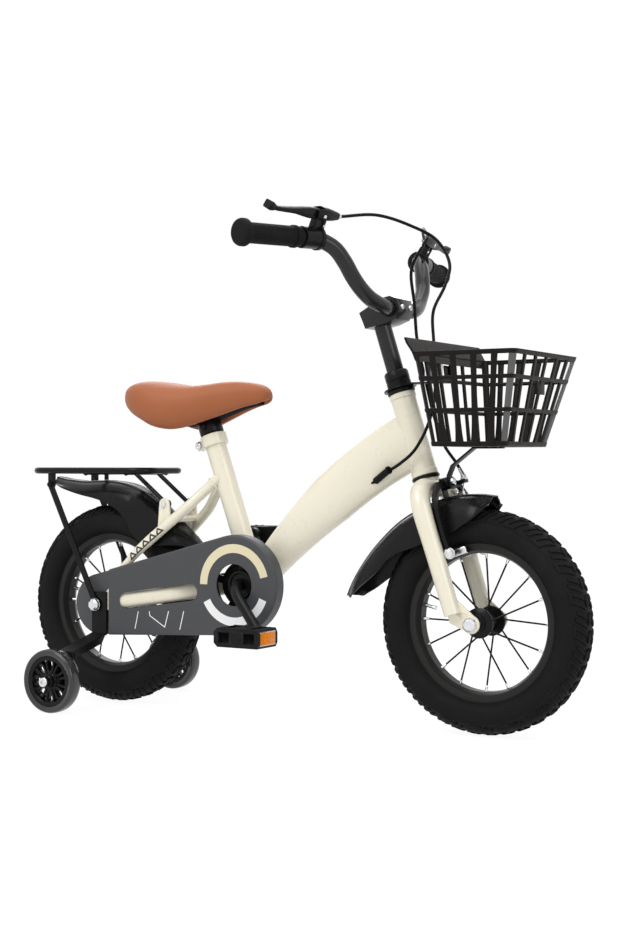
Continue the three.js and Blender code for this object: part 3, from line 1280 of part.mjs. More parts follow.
function basketStrutShape() {
  const middle = strutFrom + strut.thick / 2;
  const eye = headFoot.clone().addScaledVector(headUp, fork.boltHeight).addScaledVector(headAhead, middle);
  const low = eye.clone().addScaledVector(headUp, -strut.footDrop);
  const high = eye.clone().addScaledVector(headUp, strut.eyeRise);
  const under = basket.floor - clearance - strut.thick / 2;
  const outline = stripOutline([
    [strut.floorTo, under], [strut.floorFrom, under], [high.x + strut.bendAhead, high.z + strut.bendRise],
    [high.x, high.z], [low.x, low.z],
  ], strut.thick);
  const reach = strut.thick + overrun;
  const hole = rod(eye.clone().addScaledVector(headAhead, -reach),
    eye.clone().addScaledVector(headAhead, reach),
    bored(fork.boltRadius), smallSides);
  return sidePlate(outline, -strut.half, strut.half).subtract(hole);
}

function addHead() {
  const neck = head.steerer + clearance;
  const lowerTop = head.from - clearance;
  part(headGroup, 'headset_cup_lower',
    pipe(neck, head.cupRadius, lowerTop - head.lowerCup, lowerTop, tubeSides), black);
  const upperFrom = head.to + clearance;
  part(headGroup, 'headset_cup_upper',
    pipe(neck, head.cupRadius, upperFrom, upperFrom + head.upperCup, tubeSides), black);
  part(steering, 'fork', forkShape(), cream);
  part(steering, 'stem', stemShape(), darkGrey);
  const shelf = head.steererTop + clearance;
  part(steering, 'headset_locknut', upright([
    [neck, nutFrom], [head.nutRadius, nutFrom], [head.nutRadius, nutTop - head.nutChamfer],
    [head.nutNeck, nutTop],
    [head.steererBore, nutTop], [head.steererBore, shelf], [neck, shelf], [neck, nutFrom],
  ], tubeSides), black);
  part(steering, 'caliper_arm_right', caliperArm(-1), black);
  part(steering, 'caliper_arm_left', caliperArm(1), black);
  part(steering, 'caliper_bolt', caliperBoltShape(), silver);
  const world = levelGroup(at(0, 0, 0));
  part(world, 'basket_bracket', basketBracketShape(), darkGrey);
  part(world, 'basket_strut', basketStrutShape(), black);
}

// Seat post, clamp and saddle
const saddleShares = [
  [-0.55, 0.34, 0.7, 0.53], [-0.534, 0.54, 0.755, 0.47], [-0.499, 0.71, 0.8, 0.4],
  [-0.441, 0.857, 0.835, 0.31], [-0.372, 0.95, 0.84, 0.225], [-0.291, 0.993, 0.815, 0.135],
  [-0.206, 0.964, 0.78, 0.09], [-0.125, 0.871, 0.757, 0.1], [-0.048, 0.757, 0.76, 0.15],
  [0.037, 0.63, 0.78, 0.22], [0.118, 0.521, 0.8, 0.29], [0.203, 0.43, 0.8, 0.365],
  [0.277, 0.357, 0.78, 0.42], [0.339, 0.293, 0.745, 0.455], [0.377, 0.214, 0.69, 0.49],
  [0.396, 0.13, 0.63, 0.52],
];
const saddleRingShares = [
  [0.5, 0.14], [0.6, 0], [0.86, 0.05], [0.98, 0.25], [1, 0.5], [0.93, 0.74], [0.75, 0.9], [0.45, 0.985],
  [0.15, 1],
];

function saddleStations() {
  return saddleShares.map(([x, half, top, bottom]) => ({
    x: seatTop.x + x * saddle.length, half: half * saddle.halfWidth,
    top: seatTop.z + top * saddle.rise, bottom: seatTop.z + bottom * saddle.rise,
  }));
}

function saddleShape() {
  return skin(saddleStations().map(({ x, half, top, bottom }) => {
    const side = saddleRingShares.map(([y, z]) => at(x, y * half, THREE.MathUtils.lerp(bottom, top, z)));
    return [...side, ...side.map((point) => point.clone().setY(-point.y)).reverse()];
  }));
}

// A plate under the hollow of the saddle
function panShape(thick, above, widthShare, drop) {
  return skin(saddleStations().slice(1, -2).map(({ x, half, top, bottom }) => {
    const hollow = THREE.MathUtils.lerp(bottom, top, saddleRingShares[0][1]) - drop;
    const [low, high, y] = [hollow - thick, hollow + above, widthShare * half];
    return [at(x, y, low), at(x, y, high), at(x, -y, high), at(x, -y, low)];
  }));
}

function addSeat() {
  const seat = groupAt(seatTop);
  seat.rotation.y = -radians(seatAngle);
  const long = seatTube.collarLength;
  const ears = block(at(-collar.ear, -collar.earHalf, -long + collar.earInset),
    at(-seatTube.radius - collar.earLap, collar.earHalf, -collar.earInset));
  const tubeCut = post(bored(seatTube.radius, tubeSides), -2 * long, long, tubeSides);
  const bolt = rod(at(-collar.boltBack, -collar.boltHalf, -long / 2),
    at(-collar.boltBack, collar.boltHalf, -long / 2),
    collar.bolt, smallSides);
  part(seat, 'seat_clamp', joined([post(seatTube.collarRadius, -long, 0, tubeSides), ears, bolt])
    .subtract(tubeCut), cream);
  part(seat, 'seat_post', post(seatTube.postRadius, -seatPostSize.foot, seatPostSize.top, tubeSides),
    darkGrey);
  part(bike, 'saddle', saddleShape(), tan);
  part(bike, 'saddle_base', panShape(saddle.panThick, 0, saddle.panHalfShare, clearance), black);
  const seatMatrix = new THREE.Matrix4().makeRotationY(-radians(seatAngle)).setPosition(seatTop);
  const clampBody = moved(post(saddleClamp.radius, saddleClamp.from, saddleClamp.to, tubeSides)
    .subtract(post(bored(seatTube.postRadius, tubeSides), -long, 2 * saddleClamp.to, tubeSides)), seatMatrix);
  part(bike, 'saddle_clamp', clampBody.subtract(panShape(saddle.panThick, saddle.rise, 1, 2 * clearance)),
    black);
}

// Rear rack and its stays
function rackShape() {
  const [back, ahead] = [-rack.back + rack.corner, -rack.ahead - rack.corner];
  const cornerAt = (x, sign, from) => arcPoints(x, sign * (rack.half - rack.corner), rack.corner, from,
    from + 90,
    rack.cornerSteps);
  const middle = (back + ahead) / 2;
  const loop = [
    [middle - rack.seam, -rack.half], ...cornerAt(ahead, -1, -90), ...cornerAt(ahead, 1, 0),
    [middle - rack.seam, rack.half]];
  const other = [
    [middle + rack.seam, rack.half], ...cornerAt(back, 1, 90), ...cornerAt(back, -1, 180),
    [middle + rack.seam, -rack.half]];
  const hoops = [loop, other].map((points) => tube(points.map(([x, y]) => at(x, y, rack.height)), rack.tube,
    rack.sides));
  const barHeight = rack.height - rack.tube + rack.barRadius / 2;
  const bars = [rack.frontBar, rack.rearBar].map((x) => rod(at(-x, -rack.half, barHeight),
    at(-x, rack.half, barHeight),
    rack.barRadius, smallSides));
  const postRadius = fenderRadius(rearRidge, rack.postAngle);
  const postFoot = rearAxle.z + postRadius * Math.sin(radians(rack.postAngle)) + clearance * 1.5;
  const fenderPost = rod(at(-rack.rearBar, 0, postFoot), at(-rack.rearBar, 0, barHeight), rack.barRadius,
    smallSides);
  const side = rackSideShape(barHeight);
  return joined([...hoops, ...bars, fenderPost, side, mirrored(side)]);
}

function rackSideShape(barHeight) {
  const eye = at(-stayTab.x, rackStrut.middle, stayTab.z);
  const strutRod = rod(at(-rack.frontBar, rackStrut.middle, barHeight), eye, rackStrut.radius, smallSides);
  const pin = rod(eye.clone().setY(rackStrut.middle - rackStrut.radius), eye.clone().setY(rackStrut.pinReach),
    rackStrut.pin, smallSides);
  const eyeDisc = shifted(disc(2 * rackStrut.radius, rackStrut.middle - rackStrut.radius,
    rackStrut.middle + rackStrut.radius, smallSides), eye.x, 0, eye.z);
  const [x, z] = [-rack.tabBack, rack.height - rack.tabDrop];
  const outline = [...arcPoints(x, z, rack.tabHalf, 180, 360, arcSteps),
    [x + rack.tabHalf, rack.height - rack.tabLap],
    [x - rack.tabHalf, rack.height - rack.tabLap]];
  const plate = sidePlate(outline, bracketInner, bracketInner + rack.tabThick)
    .subtract(shifted(disc(bored(rackStrut.pin), 0, 2 * rack.half, smallSides), x, 0, z));
  return joined([strutRod, pin, eyeDisc, plate]);
}

function rackStayShape() {
  const [x, z] = [-rack.tabBack, rack.height - rack.tabDrop];
  const [from, to] = [rackStay.from, rackStay.from + rackStay.thick];
  const strip = sidePlate(beltOutline({ x, z, radius: rackStay.halfWidth },
    { x: rearAxle.x, z: rearAxle.z, radius: rackStay.halfWidth * rackStay.footShare }, rackStay.arcSteps),
    from, to);
  const foot = shifted(disc(axle.nutRadius, from, to), rearAxle.x, 0, rearAxle.z);
  const bolt = shifted(disc(rackStrut.pin, bracketInner - rackStay.boltSeat, to + rackStay.boltEnd,
    smallSides),
    x, 0, z);
  return joined([strip, foot, bolt])
    .subtract(shifted(disc(bored(axle.radius), 0, 2 * to, smallSides), rearAxle.x, 0, rearAxle.z));
}

// Training wheels
function trainingBracketShape() {
  const [backX, aheadX] = [rearAxle.x - training.webBack, rearAxle.x + training.webAhead];
  const webMiddle = bracketInner + training.webThick / 2;
  const legMiddle = training.middle - training.bossHalf - clearance - training.armThick / 2;
  const path = [
    [webMiddle, rearAxle.z + training.webTop], [webMiddle, rearAxle.z - training.webFoot],
    [training.armOut, training.armLow], [legMiddle, training.radius - training.webBack],
  ];
  const strip = crossPlate(stripOutline(path, training.webThick), backX, aheadX);
  const flange = crossPlate([
    [webMiddle + bracketFlange.rootInset, path[1][1] - bracketFlange.rootRise],
    [path[2][0] - bracketFlange.endInset, path[2][1]],
    [path[2][0] - bracketFlange.endInset, path[2][1] - bracketFlange.endDepth],
    [webMiddle + bracketFlange.footInset, path[1][1] - bracketFlange.footDrop],
  ], aheadX - training.webThick, aheadX);
  const [x, z] = [rearAxle.x - training.back, training.radius];
  const outer = training.middle + training.bossHalf + clearance;
  const inner = training.middle - training.bossHalf - clearance;
  const pin = shifted(disc(training.boltRadius, legMiddle, outer + training.boltEnd), x, 0, z);
  const bolt = shifted(disc(training.boltHead, outer, outer + training.headThick), x, 0, z);
  const washer = shifted(disc(training.boss, legMiddle - training.armThick / 2, inner), x, 0, z);
  return joined([strip, flange, pin, bolt, washer])
    .subtract(shifted(disc(bored(axle.radius), 0, 2 * bracketInner, smallSides), rearAxle.x, 0, rearAxle.z));
}

function trainingWheelShape() {
  const outer = lathe(onFlats([[trainingRim.inner, -trainingRim.half],
    [trainingRim.radius, -trainingRim.half],
    [trainingRim.radius, trainingRim.half], [trainingRim.inner, trainingRim.half],
    [trainingRim.inner, -trainingRim.half]], trainingSides), trainingSides);
  const web = ring(training.bore, trainingRim.inner + trainingRim.webLap, -trainingRim.webHalf,
    trainingRim.webHalf, nutSides);
  const boss = ring(training.bore, training.boss, -training.bossHalf, training.bossHalf, nutSides);
  const { inner, outerAngle, innerAngle } = trainingHole;
  const holes = Array.from({ length: trainingHole.count }, (_, i) => {
    const [start, end] = [360 * i / trainingHole.count, 360 * (i + 1) / trainingHole.count];
    return sidePlate([
      ...arcPoints(0, 0, trainingHole.outer, start + outerAngle, end - outerAngle, trainingHole.outerSteps),
      ...arcPoints(0, 0, inner, end - innerAngle, start + innerAngle, 1),
    ], -training.middle, training.middle);
  });
  return holes.reduce((rest, hole) => rest.subtract(hole), joined([outer, web, boss]));
}

function trainingTyreShape() {
  const half = [
    [trainingRim.radius + clearance, trainingRim.half], [trainingRim.tyreShoulder, training.halfWidth],
    [training.radius, trainingRim.treadHalf],
  ];
  const profile = [...half.map(([r, y]) => [r, -y]), ...half.reverse()];
  return lathe(onFlats([...profile, profile[0]], trainingSides), trainingSides);
}

function addRear() {
  part(bike, 'frame', frameShape(), cream);
  part(bike, 'rear_rack', rackShape(), black);
  for (const [side, name] of [[1, 'left'], [-1, 'right']]) {
    const turned = (shape) => (side > 0 ? shape : mirrored(shape));
    part(bike, `rack_stay_${name}`, turned(rackStayShape()), black);
    part(bike, `training_bracket_${name}`, turned(trainingBracketShape()), black);
    const wheel = groupAt(at(rearAxle.x - training.back, side * training.middle, training.radius));
    part(wheel, `training_wheel_${name}`, trainingWheelShape(), black);
    part(wheel, `training_tyre_${name}`, trainingTyreShape(), darkGrey);
  }
}

addRear();
addHead();
const clampAt = addBars();
addCables(clampAt);
addBasket();
addWheels();
addDrive();
addSeat();

export default bike;
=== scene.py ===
"""Looks of the kids bike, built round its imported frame.

Sizes are in millimetres until fit() sets a piece in metres.
"""

from math import acos, atan2, cos, degrees, hypot, pi, radians, sin, tau
from types import SimpleNamespace as Sizes

import bpy
from mathutils import Matrix, Vector


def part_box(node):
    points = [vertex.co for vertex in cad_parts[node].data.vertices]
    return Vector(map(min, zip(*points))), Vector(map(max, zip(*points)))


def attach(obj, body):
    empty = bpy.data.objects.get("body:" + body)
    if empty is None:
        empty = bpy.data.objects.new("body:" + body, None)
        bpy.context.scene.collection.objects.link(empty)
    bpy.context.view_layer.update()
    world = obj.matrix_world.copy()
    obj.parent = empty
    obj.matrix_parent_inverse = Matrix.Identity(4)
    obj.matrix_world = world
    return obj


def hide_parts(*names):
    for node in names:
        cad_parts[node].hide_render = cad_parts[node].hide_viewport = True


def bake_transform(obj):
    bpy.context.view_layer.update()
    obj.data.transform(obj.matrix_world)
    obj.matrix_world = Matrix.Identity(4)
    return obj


bl_info = {
    "name": "Kids Bike with Training Wheels",
    "version": (1, 0, 0),
    "blender": (4, 5, 0),
    "location": "View3D > Sidebar > Bike",
    "description": "Models and finishes a small child's bike round its packed frame",
    "category": "Object",
}

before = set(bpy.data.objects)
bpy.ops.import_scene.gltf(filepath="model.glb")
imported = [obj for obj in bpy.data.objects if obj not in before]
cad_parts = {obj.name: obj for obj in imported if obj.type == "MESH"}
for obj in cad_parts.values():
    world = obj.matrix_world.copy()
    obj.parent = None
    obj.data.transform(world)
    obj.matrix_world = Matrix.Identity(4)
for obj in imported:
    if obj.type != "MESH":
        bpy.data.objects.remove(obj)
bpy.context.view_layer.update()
MM = 0.001
finishes = {}


# Properties

def tint(red, green, blue):
    """A screen colour of 0 to 255 a channel as linear light."""
    return tuple(
        c / 3294.6 if c <= 10 else ((c / 255 + 0.055) / 1.055) ** 2.4 for c in (red, green, blue))


def colour_property(name, description, default):
    return bpy.props.FloatVectorProperty(
        name=name, description=description, subtype="COLOR", size=3, min=0, max=1, default=default)


class BikeColours(bpy.types.PropertyGroup):
    """Colours of the bike's finishes"""

    paint: colour_property("Paint", "Frame and fork paint", tint(233, 227, 206))
    guard: colour_property("Chain guard", "Chain guard plastic", tint(60, 61, 64))
    trim: colour_property("Trim", "Painted steel and glossy plastic", tint(18, 18, 19))
    bar: colour_property("Handlebar", "Handlebar and stem paint", tint(34, 34, 35))
    saddle: colour_property("Saddle", "Saddle cover", tint(158, 93, 58))
    rubber: colour_property("Rubber", "Tyres and grips", tint(22, 21, 21))
    basket: colour_property("Basket", "Basket plastic", tint(24, 20, 18))
    reflector: colour_property("Reflector", "Pedal reflectors", tint(244, 138, 2))


class BikeSizes(bpy.types.PropertyGroup):
    """Counts and sizes of repeated detail"""

    tread_blocks: bpy.props.IntProperty(
        name="Tread blocks", description="Blocks along each shoulder of a tyre", default=20, min=8, max=60)
    grip_ribs: bpy.props.IntProperty(
        name="Grip ribs", description="Ribs along each grip", default=16, min=4, max=40)
    round_steps: bpy.props.IntProperty(
        name="Round steps", description="Steps round a turned piece", default=64, min=12, max=256)
    wheel_radius: bpy.props.FloatProperty(
        name="Wheel radius", description="From axle to tread", unit="LENGTH",
        default=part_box("rear_tyre")[1][2] / 2, min=0.1, max=0.3)


# Places that the pieces share, as in the solids

WHEEL = 156
FRONT_AXLE = Vector((318.5, 0, 156))
REAR_AXLE = Vector((-318.5, 0, 156))
BRACKET = Vector((-58.5, 0, 196))
HEAD_ANGLE = radians(17.8)
FORK_RAKE = 26.6
SEAT_ANGLE = radians(19.6)
SEAT_TUBE = 236
STEM_AHEAD, STEM_UP = 27.4, 460.2
LEVER_BACK, LEVER_OFFSET = 134, 34
LEVER_LEAN = Vector((18, 0, 33))
X_AXIS, Y_AXIS, Z_AXIS = Vector((1, 0, 0)), Vector((0, 1, 0)), Vector((0, 0, 1))
OVERRUN = 10
ROUND, SMALL_ROUND = 48, 32
SOFT_EDGE = {"edge": 0.8, "segments": 3}


def leaning(angle, origin):
    return Matrix.Translation(origin) @ Matrix.Rotation(-angle, 4, "Y")


def standing(origin=(0, 0, 0)):
    """Turns a piece spun about Y upright."""
    return Matrix.Translation(origin) @ Matrix.Rotation(pi / 2, 4, "X")


HEAD = leaning(HEAD_ANGLE, FRONT_AXLE - FORK_RAKE * Vector((cos(HEAD_ANGLE), 0, sin(HEAD_ANGLE))))
SEAT_TOP = BRACKET + SEAT_TUBE * Vector((-sin(SEAT_ANGLE), 0, cos(SEAT_ANGLE)))
SEAT = leaning(SEAT_ANGLE, SEAT_TOP)
CLAMP = HEAD @ Vector((STEM_AHEAD, 0, STEM_UP))
BAR_HALF = 287
BAR_SHARES = [
    (0, 0.0836, 0), (0.011, 0.139, 0.001), (0.003, 0.209, 0.016), (-0.01, 0.261, 0.039),
    (-0.025, 0.314, 0.078), (-0.039, 0.366, 0.13), (-0.06, 0.405, 0.196), (-0.09, 0.45, 0.258),
    (-0.141, 0.515, 0.3005), (-0.26, 1, 0.28)]
BAR_POINTS = [BAR_HALF * Vector(share) for share in BAR_SHARES]
MIRROR = Matrix.Scale(-1, 4, Y_AXIS)
SIDES = (("left", 1, Matrix()), ("right", -1, MIRROR))


def grip_place(back):
    """At the left end of the bar: Y runs outwards along the grip, Z towards the lever."""
    end = BAR_POINTS[-1]
    outward = (end - BAR_POINTS[-2]).normalized()
    hinge = outward.cross(LEVER_LEAN).normalized()
    lift = hinge.cross(outward)
    turn = Matrix((hinge, outward, lift)).transposed().to_4x4()
    return Matrix.Translation(CLAMP + end - back * outward) @ turn


def sideways(at, side=1, place=Matrix()):
    """Turns a bolt made along Z to point out to one side, at a point of a place."""
    return place @ Matrix.Translation(at) @ Matrix.Rotation(-side * pi / 2, 4, "X")


# Modelling tools

def fresh():
    """Leaves edit mode and deselects everything."""
    if bpy.context.object and bpy.context.object.mode != "OBJECT":
        bpy.ops.object.mode_set(mode="OBJECT")
    bpy.ops.object.select_all(action="DESELECT")


def only(obj):
    fresh()
    obj.select_set(True)
    bpy.context.view_layer.objects.active = obj


def in_edit(obj, *steps):
    """Runs edit mode operators on the whole mesh."""
    only(obj)
    bpy.ops.object.mode_set(mode="EDIT")
    bpy.ops.mesh.select_all(action="SELECT")
    for step in steps:
        step()
    bpy.ops.object.mode_set(mode="OBJECT")


def merge():
    bpy.ops.mesh.remove_doubles(threshold=0.01)


def outward():
    bpy.ops.mesh.normals_make_consistent(inside=False)


def smooth_shade(obj, angle=35):
    only(obj)
    bpy.ops.object.shade_smooth_by_angle(angle=radians(angle))
    return obj


def apply(obj, kind, **settings):
    """Adds a modifier and applies it."""
    only(obj)
    modifier = obj.modifiers.new(kind.title(), kind)
    for key, value in settings.items():
        setattr(modifier, key, value)
    bpy.ops.object.modifier_apply(modifier=modifier.name)
    return obj


def bevelled(obj, width, segments=2, angle=30):
    apply(obj, "BEVEL", width=width, segments=segments, limit_method="ANGLE", angle_limit=radians(angle),
          use_clamp_overlap=True)
    return obj


def cut(obj, *cutters):
    for cutter in cutters:
        apply(obj, "BOOLEAN", operation="DIFFERENCE", solver="EXACT", object=cutter)
        bpy.data.objects.remove(cutter)
    if not obj.data.polygons:
        raise RuntimeError(f"nothing is left of {obj.name} after its cuts")
    return obj


def placed(obj, place):
    obj.data.transform(place)
    if place.determinant() < 0:
        obj.data.flip_normals()
    return obj


def copy_of(obj, place=Matrix()):
    twin = obj.copy()
    twin.data = obj.data.copy()
    bpy.context.collection.objects.link(twin)
    return placed(twin, place)


def joined(pieces):
    pieces = list(pieces)
    only(pieces[0])
    for piece in pieces[1:]:
        piece.select_set(True)
    if len(pieces) > 1:
        bpy.ops.object.join()
    return pieces[0]


def repeated(obj, count, axis=Y_AXIS, centre=(0, 0, 0)):
    """Copies of a mesh turned about an axis, all round."""
    place = Matrix.Translation(centre)
    turns = [place @ Matrix.Rotation(tau * i / count, 4, axis) @ place.inverted() for i in range(count)]
    return joined([obj] + [copy_of(obj, turn) for turn in turns[1:]])


def grid(rows):
    """A grid primitive whose vertices are set through rows of points."""
    fresh()
    columns = len(rows[0])
    bpy.ops.mesh.primitive_grid_add(x_subdivisions=columns - 1, y_subdivisions=len(rows) - 1)
    obj = bpy.context.object
    points = [point for row in rows for point in row]
    if len(points) != len(obj.data.vertices):
        raise RuntimeError(f"the grid has {len(obj.data.vertices)} vertices for {len(points)} points")
    obj.data.vertices.foreach_set("co", [value for point in points for value in point])
    return obj


def centre_of(points):
    return sum(points, Vector((0, 0, 0))) / len(points)


def wrapped(rings, loop=False, angle=35):
    """A closed skin through rings of points, capped at its ends or joined into a loop."""
    rows = [list(ring) + [ring[0]] for ring in rings]
    if loop:
        rows.append(rows[0])
    else:
        rows = [[centre_of(rings[0])] * len(rows[0])] + rows + [[centre_of(rings[-1])] * len(rows[0])]
    obj = grid(rows)
    in_edit(obj, merge, outward)
    return smooth_shade(obj, angle)


def turned(profile, place=Matrix(), steps=None, angle=35):
    """A closed profile of (radius, along) points spun about Y."""
    steps = steps or bpy.context.scene.bike_sizes.round_steps
    fresh()
    bpy.ops.mesh.primitive_circle_add(vertices=len(profile), fill_type="NOTHING")
    obj = bpy.context.object
    for vertex, (radius, along) in zip(obj.data.vertices, profile):
        vertex.co = (radius, along, 0)
    spin = lambda: bpy.ops.mesh.spin(steps=steps, angle=tau, center=(0, 0, 0), axis=(0, 1, 0))
    in_edit(obj, spin, merge, outward)
    placed(obj, place)
    return smooth_shade(obj, angle)


def disc_profile(radius, low, high, edge=0.6):
    return ring_profile(0, radius, low, high, edge)


def ring_profile(inner, outer, low, high, edge=0.5):
    return [(inner, low), (outer - edge, low), (outer, low + edge), (outer, high - edge),
            (outer - edge, high), (inner, high)]


def mirrored(half):
    """A profile of (radius, along) points whose last point lies on the middle, and its mirror image."""
    return half + [(radius, -along) for radius, along in reversed(half[:-1])]


def hexagon(radius):
    return [(radius * cos(tau * i / 6), radius * sin(tau * i / 6)) for i in range(6)]


def plate(outline, depth, place=Matrix(), edge=0.4, segments=2):
    """A flat outline in X and Y, extruded along Z, with its edges rounded."""
    fresh()
    bpy.ops.mesh.primitive_circle_add(vertices=len(outline), fill_type="NGON")
    obj = bpy.context.object
    for vertex, (x, y) in zip(obj.data.vertices, outline):
        vertex.co = (x, y, 0)
    extrude = lambda: bpy.ops.mesh.extrude_region_move(TRANSFORM_OT_translate={"value": (0, 0, depth)})
    in_edit(obj, extrude, outward)
    if edge:
        bevelled(obj, edge, segments)
    placed(obj, place)
    return smooth_shade(obj)


def side_plate(outline, low, high, **edges):
    """A plate along X and Z, thick from one y to another."""
    place = Matrix.Rotation(pi / 2, 4, "X") @ Matrix.Translation((0, 0, -high))
    return plate(outline, high - low, place, **edges)


def block(low, high, place=Matrix(), edge=0.6, segments=2):
    outline = [(low[0], low[1]), (high[0], low[1]), (high[0], high[1]), (low[0], high[1])]
    return plate(outline, high[2] - low[2], place @ Matrix.Translation((0, 0, low[2])), edge, segments)


def arc(x, z, radius, start, end, steps):
    angles = [radians(start + (end - start) * i / steps) for i in range(steps + 1)]
    return [(x + radius * cos(a), z + radius * sin(a)) for a in angles]


def belt(a, b, steps):
    """The outline round two circles, each given as (x, z, radius)."""
    slope = atan2(b[1] - a[1], b[0] - a[0])
    spread = acos((a[2] - b[2]) / hypot(b[0] - a[0], b[1] - a[1]))
    high, low = degrees(slope + spread), degrees(slope - spread)
    return arc(*b, low, high, steps) + arc(*a, high, low + 360, steps)


FINE_STEPS = 16


def smooth(points, count):
    """A centripetal curve through points, in evenly spaced steps."""
    points = [Vector(point) for point in points]
    points = [2 * points[0] - points[1]] + points + [2 * points[-1] - points[-2]]
    fine = []
    for p in zip(points, points[1:], points[2:], points[3:]):
        knots = [0]
        for a, b in zip(p, p[1:]):
            knots.append(knots[-1] + max((b - a).length, 1e-6) ** 0.5)
        for i in range(FINE_STEPS):
            fine.append(between(p, knots, knots[1] + (knots[2] - knots[1]) * i / FINE_STEPS))
    fine.append(points[-2])
    return spaced(fine, count)


def between(p, knots, t):
    """The point at a knot value between the middle two of four points."""
    def blend(a, b, low, high):
        return a.lerp(b, (t - knots[low]) / (knots[high] - knots[low]))
    first, second, third = (blend(p[i], p[i + 1], i, i + 1) for i in range(3))
    return blend(blend(first, second, 0, 2), blend(second, third, 1, 3), 1, 2)


def spaced(points, count):
    lengths = [0]
    for a, b in zip(points, points[1:]):
        lengths.append(lengths[-1] + (b - a).length)
    result, at = [], 0
    for i in range(count):
        want = lengths[-1] * i / (count - 1)
        while at < len(points) - 2 and lengths[at + 1] < want:
            at += 1
        span = max(lengths[at + 1] - lengths[at], 1e-9)
        result.append(points[at].lerp(points[at + 1], min((want - lengths[at]) / span, 1)))
    return result


def swept(points, halves, depths=None, across=Y_AXIS, sides=24, loop=False, square=2):
    """A tube along points whose oval section may change. Square above 2 flattens its sides."""
    count = len(points)
    halves = halves if isinstance(halves, (list, tuple)) else [halves] * count
    depths = halves if depths is None else depths if isinstance(depths, (list, tuple)) else [depths] * count
    rings = []
    for i, point in enumerate(points):
        before = points[i - 1] if loop or i else points[0]
        after = points[(i + 1) % count] if loop else points[min(i + 1, count - 1)]
        tangent = (after - before).normalized()
        along = tangent.cross(across).normalized()
        side = along.cross(tangent).normalized()
        ring = []
        for j in range(sides):
            c, s = cos(tau * j / sides), sin(tau * j / sides)
            u = abs(c) ** (2 / square) * (1 if c > 0 else -1)
            v = abs(s) ** (2 / square) * (1 if s > 0 else -1)
            ring.append(point + side * halves[i] * u + along * depths[i] * v)
        rings.append(ring)
    return wrapped(rings, loop)


def rod(start, end, radius, sides=24, end_radius=None):
    start, end = Vector(start), Vector(end)
    across = Z_AXIS if abs((end - start).normalized().z) < 0.7 else Y_AXIS
    radii = [radius, radius if end_radius is None else end_radius]
    return swept([start, end], radii, across=across, sides=sides)


def varied(values, count):
    """Numbers spread evenly over a longer list."""
    spread = []
    for i in range(count):
        t = i * (len(values) - 1) / (count - 1)
        low = min(int(t), len(values) - 2)
        spread.append(values[low] + (values[low + 1] - values[low]) * (t - low))
    return spread


def bead(centre, axis, radius, thick=2.2, sides=40):
    """A weld bead round a tube."""
    axis = Vector(axis).normalized()
    across = axis.cross(Vector((0.3, 1, 0.2))).normalized()
    other = axis.cross(across)
    points = [Vector(centre) + radius * (across * cos(tau * i / sides) + other * sin(tau * i / sides))
              for i in range(sides)]
    uneven = [thick * (1 + 0.12 * sin(5 * i)) for i in range(sides)]
    return swept(points, uneven, across=axis, sides=8, loop=True)


def hex_bolt(place, radius, height):
    """A hexagon head with a chamfer and a washer under it, along Z."""
    head = plate(hexagon(radius), height, edge=0.5)
    washer = turned(disc_profile(radius * 1.18, 0, height * 0.25, 0.2), standing(), SMALL_ROUND)
    raised = height + 0.5
    dimple = turned([(0, height), (radius * 0.45, height), (radius * 0.35, raised), (0, raised)],
                    standing(), SMALL_ROUND * 3 // 4)
    return placed(joined([head, washer, dimple]), place)


def dome_bolt(place, radius, height):
    """A round head with a hexagon socket, along Z."""
    shares = [(0, 0), (1, 0), (1, 0.45), (0.86, 0.85), (0.6, 1), (0, 1)]
    head = turned([(radius * x, height * z) for x, z in shares], standing(), SMALL_ROUND)
    cut(head, plate(hexagon(radius * 0.45), height, Matrix.Translation((0, 0, height / 2)), edge=0))
    return placed(smooth_shade(head, 30), place)


def dressed(node, edge=0.4, angle=32, segments=2):
    """A CAD node's shape with its edges rounded, in millimetres."""
    obj = bpy.data.objects.new(node + "_finished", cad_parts[node].data.copy())
    bpy.context.collection.objects.link(obj)
    obj.data.transform(Matrix.Scale(1 / MM, 4))
    in_edit(obj, merge, lambda: bpy.ops.mesh.dissolve_limited(angle_limit=radians(1)))
    if edge:
        bevelled(obj, edge, segments, angle)
    return smooth_shade(obj, angle)


def fit(obj, name, body, finish, *nodes, slot=None):
    """Names a piece, sets it in metres, gives it its finish, and lets it ride in place of CAD nodes."""
    fresh()
    obj.name = obj.data.name = name
    obj.data.transform(Matrix.Scale(MM, 4))
    obj.data.materials.clear()
    obj.data.materials.append(finishes[finish])
    if body:
        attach(obj, body)
    if nodes:
        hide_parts(*nodes)
    return obj


def stand_in(obj, node, body, finish, slot=None):
    """Fits a piece in place of one CAD node."""
    return fit(obj, node + "_finished", body, finish, node, slot=slot)


def finished(node, body, finish, edge=0.4, slot=None, segments=2):
    """Fits a CAD node's own shape with its edges rounded."""
    return stand_in(dressed(node, edge, segments=segments), node, body, finish, slot)


# Finishes

class Shade:
    """A node's output that takes part in plain arithmetic."""

    def __init__(self, graph, socket):
        self.graph, self.socket = graph, socket

    def math(self, operation, *values):
        return self.graph.node("ShaderNodeMath", {"operation": operation}, dict(enumerate(values)))

    def __add__(self, other):
        return self.math("ADD", self, other)

    def __sub__(self, other):
        return self.math("SUBTRACT", self, other)

    def __rsub__(self, other):
        return self.math("SUBTRACT", other, self)

    def __mul__(self, other):
        return self.math("MULTIPLY", self, other)

    __radd__, __rmul__ = __add__, __mul__

    def over(self, edge):
        return self.math("GREATER_THAN", self, edge)

    def under(self, edge):
        return self.math("LESS_THAN", self, edge)

    def clamped(self):
        return self.math("MINIMUM", self.math("MAXIMUM", self, 0.0), 1.0)


